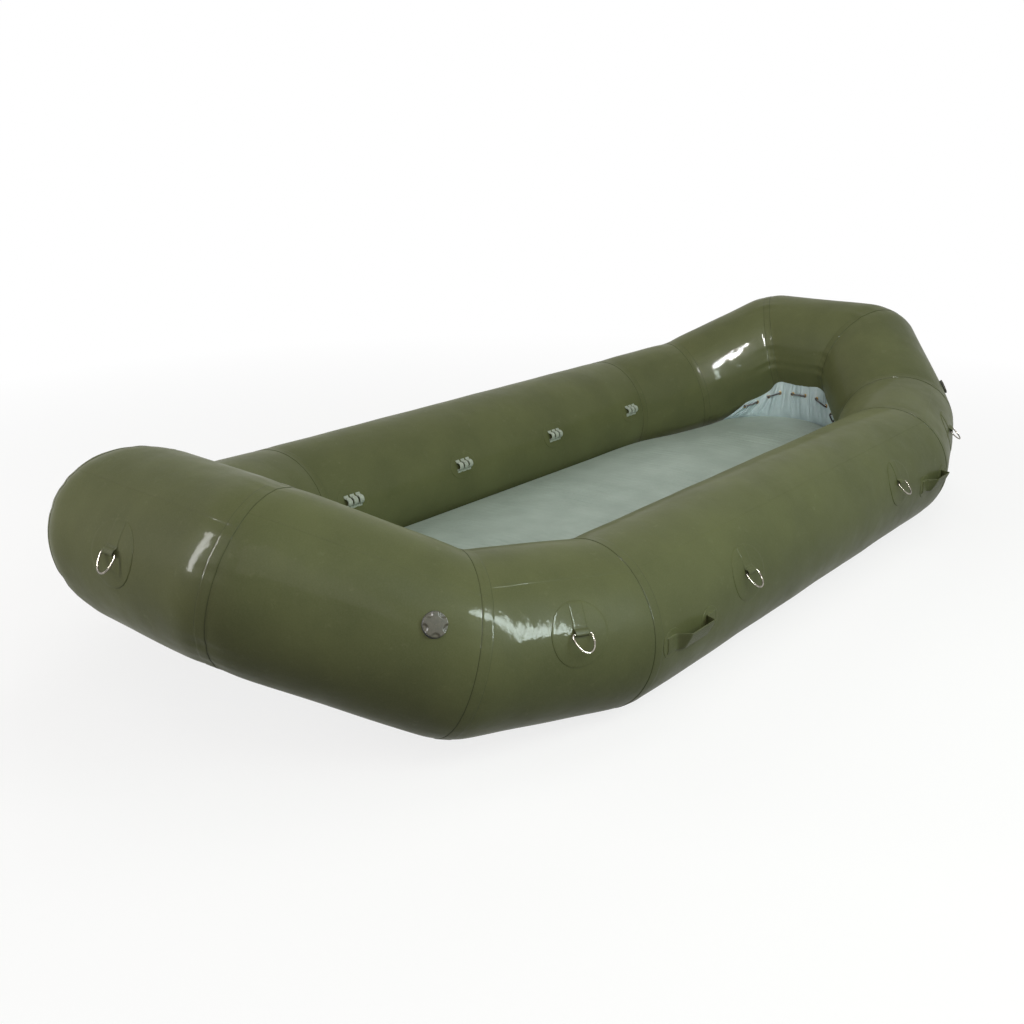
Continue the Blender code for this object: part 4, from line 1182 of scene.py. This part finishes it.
COATED = coated_fabric("coated_polyester_olive", "#565a3b", "#5f6341")
TAPE = coated_fabric("coated_tape_olive", "#55593a", "#5d6140", TAPE_W / 2)
PATCH = coated_fabric("coated_patch_olive", "#565a3b", "#5f6341")
WEBBING = webbing("nylon_webbing_olive", "#4a4e33", "#5e6242", 3.2, 0.55, 0.06)
LOOP = webbing("nylon_webbing_grey", "#8c9488", "#b4bbae", 3.0, 0.60)
METAL = {"Metallic": 1.0}, (9, 3, 0.65)
NYLON = {"IOR": 1.53, "Specular IOR Level": 0.25}, (14, 4, 0.7)
SCRATCHES = (0.8, 3, 0.00003, 0.5)
SPARKS = (1.6, 2, 0.00008, 0.6)
STEEL = worn_solid("stainless_steel_polished", "#746f66", "#a19b90", *METAL, (0.126, 0.252), SCRATCHES)
BRASS = worn_solid("brass_stamped", "#6a5228", "#8f733c", *METAL, (0.238, 0.476), SCRATCHES)
VALVE = worn_solid("nylon_moulded_dark", "#2c2e2a", "#3b3d38", *NYLON, (0.51, 0.39), SPARKS)
CAP = worn_solid("nylon_moulded_grey", "#4b483d", "#5d5a4d", *NYLON, (0.42, 0.30), SPARKS)
FLOOR_CLOTH = coated_cloth("drop_stitch_cloth_grey", "#859389", "#95a399", 4.0, 0.42, 0.55)
CURTAIN = coated_cloth("coated_cloth_blue_grey", "#9cb0b4", "#b8cbcd", 3.0, 0.55, 0.70)
CORD = braided_cord("polyester_cord_black", "#0f100f", "#2b2c2a")


# The raft

for run in RUNS:
    make_tube(run)
for i in range(len(RUNS)):
    make_tape(i)
for joint in frame["joints"]:
    if joint["name"].startswith("ring_swing_"):
        make_ring(joint)
    elif joint["name"].startswith("cap_turn_"):
        make_valve(joint)
for sy in (1, -1):
    for sx in (1, -1):
        make_handle(sx, sy)
    for i in range(4):
        make_thwart_loop(sy, i)
make_floor()
make_curtain(1)
make_curtain(-1)
make_cord()


# Studio

CAMERA_AT = (-3.4920, -2.4643, 1.6375)
CAMERA_YAW = math.radians(40.18)
CAMERA_DIP = math.radians(19.27)
CAMERA_LENS = 38.84


def toward(azimuth, elevation):
    """Unit vector at an azimuth from the bow towards port and an elevation, in degrees."""
    a, e = math.radians(azimuth), math.radians(elevation)
    return Vector((math.cos(e) * math.cos(a), math.cos(e) * math.sin(a), math.sin(e)))


def make_camera():
    """The camera at the photograph's place, turned to its view."""
    data = bpy.data.cameras.new("camera")
    data.lens = CAMERA_LENS
    data.sensor_width = 36
    camera = linked("camera", data)
    camera.location = CAMERA_AT
    look = toward(math.degrees(CAMERA_YAW), -math.degrees(CAMERA_DIP))
    camera.rotation_euler = look.to_track_quat("-Z", "Y").to_euler()
    bpy.context.scene.camera = camera


def softbox(name, place, target, width, height, watts, tint):
    """An area lamp at a place, turned to a target."""
    data = bpy.data.lights.new(name, "AREA")
    data.shape = "RECTANGLE"
    data.size = width
    data.size_y = height
    data.energy = watts
    data.color = tint
    lamp = linked(name, data)
    lamp.location = place
    lamp.rotation_euler = (Vector(target) - Vector(place)).to_track_quat("-Z", "Y").to_euler()
    return lamp


def seen_white(tree):
    """1 for the rays that should meet the white backdrop: camera, glossy and transmission."""
    path = add(tree, "ShaderNodeLightPath")
    some = add(tree, MATH, {0: path.outputs["Is Camera Ray"], 1: path.outputs["Is Glossy Ray"]}, 0,
               operation="MAXIMUM")
    return add(tree, MATH, {0: some, 1: path.outputs["Is Transmission Ray"]}, 0, operation="MAXIMUM")


def make_world():
    """A white backdrop that gives only a little fill light."""
    world = bpy.data.worlds.new("studio")
    bpy.context.scene.world = world
    tree = blank(world)
    strength = add(tree, SPREAD, {0: seen_white(tree), 3: WORLD_FILL}, 0)
    back = add(tree, "ShaderNodeBackground", {"Color": (1, 1, 1, 1), "Strength": strength})
    add(tree, "ShaderNodeOutputWorld", {"Surface": back.outputs[0]})


def make_ground():
    """Pale floor: matt grey that takes the shadow, lifted to white for the rays that see it."""
    mesh = bpy.data.meshes.new("studio_floor")
    far = 60.0
    corners = [(x * far, y * far, FLOOR_Z) for x, y in ((-1, -1), (1, -1), (1, 1), (-1, 1))]
    mesh.from_pydata(corners, [], [(0, 1, 2, 3)])
    ground = linked("studio_floor", mesh)
    mat = bpy.data.materials.new("studio_paper")
    tree = blank(mat)
    paper = add(tree, "ShaderNodeBsdfDiffuse", {"Color": linear("#787876")})
    glow = add(tree, "ShaderNodeEmission", {"Color": (1, 1, 1, 1), "Strength": 1.0})
    seen = add(tree, "ShaderNodeBsdfDiffuse", {"Color": (0.95, 0.95, 0.95, 1)})
    place = add(tree, "ShaderNodeTexCoord", out="Object")
    away = add(tree, "ShaderNodeVectorMath", {0: place}, "Value", operation="LENGTH")
    share = add(tree, SPREAD, {0: away, 1: 2.2, 2: 5.0, 3: 0.80}, 0)
    shown = add(tree, "ShaderNodeMixShader", {0: share, 1: seen.outputs[0], 2: glow.outputs[0]})
    mix = add(tree, "ShaderNodeMixShader", {0: seen_white(tree), 1: paper.outputs[0], 2: shown.outputs[0]})
    add(tree, "ShaderNodeOutputMaterial", {"Surface": mix.outputs[0]})
    mesh.materials.append(mat)


WORLD_FILL = 0.15
FLOOR_Z = -0.002

make_camera()
make_world()
make_ground()
MIDDLE = (0, 0, 0.4)
# Name, place, target, width, height, watts, tint and the kind of ray that it is hidden from.
LAMPS = (
    ("softbox_key", (-0.40, -4.00, 3.00), (-1.2, -0.8, 0.4), 2.6, 2.2, 78, (0.83, 1.0, 0.87), "glossy"),
    ("softbox_near", (-4.05, -4.05, 4.42), MIDDLE, 4.0, 4.0, 150, (1.0, 0.94, 0.90), None),
    ("softbox_back", (-4.90, 3.75, 1.60), (-2.0, -0.3, 0.6), 0.8, 2.2, 130, (1.0, 0.97, 0.90), "glossy"),
    ("softbox_top", (0.65, -1.12, 5.23), MIDDLE, 3.0, 3.0, 60, (1.0, 0.98, 0.93), "glossy"),
    ("softbox_bow", (4.97, 3.48, 3.9), MIDDLE, 3.0, 3.0, 110, (1, 1, 1), "glossy"),
    ("strip_near", (-0.85, -2.60, 1.45), (-1.5, -0.82, 0.44), 0.26, 1.4, 130, (0.86, 1.0, 0.98), "diffuse"),
    ("strip_seam", (-4.50, 0.70, 2.60), (-2.1, -0.33, 0.7), 0.70, 2.4, 400, (1, 1, 1), "diffuse"),
    ("strip_far", (-0.20, -1.40, 2.40), (1.5, 0.3, 0.5), 0.16, 1.3, 30, (1, 1, 1), "diffuse"),)
for *settings, hidden in LAMPS:
    lamp = softbox(*settings)
    if hidden:
        setattr(lamp, "visible_" + hidden, False)
bpy.data.lights["strip_far"].spread = math.radians(50)
bpy.context.scene.view_settings.view_transform = "Standard"
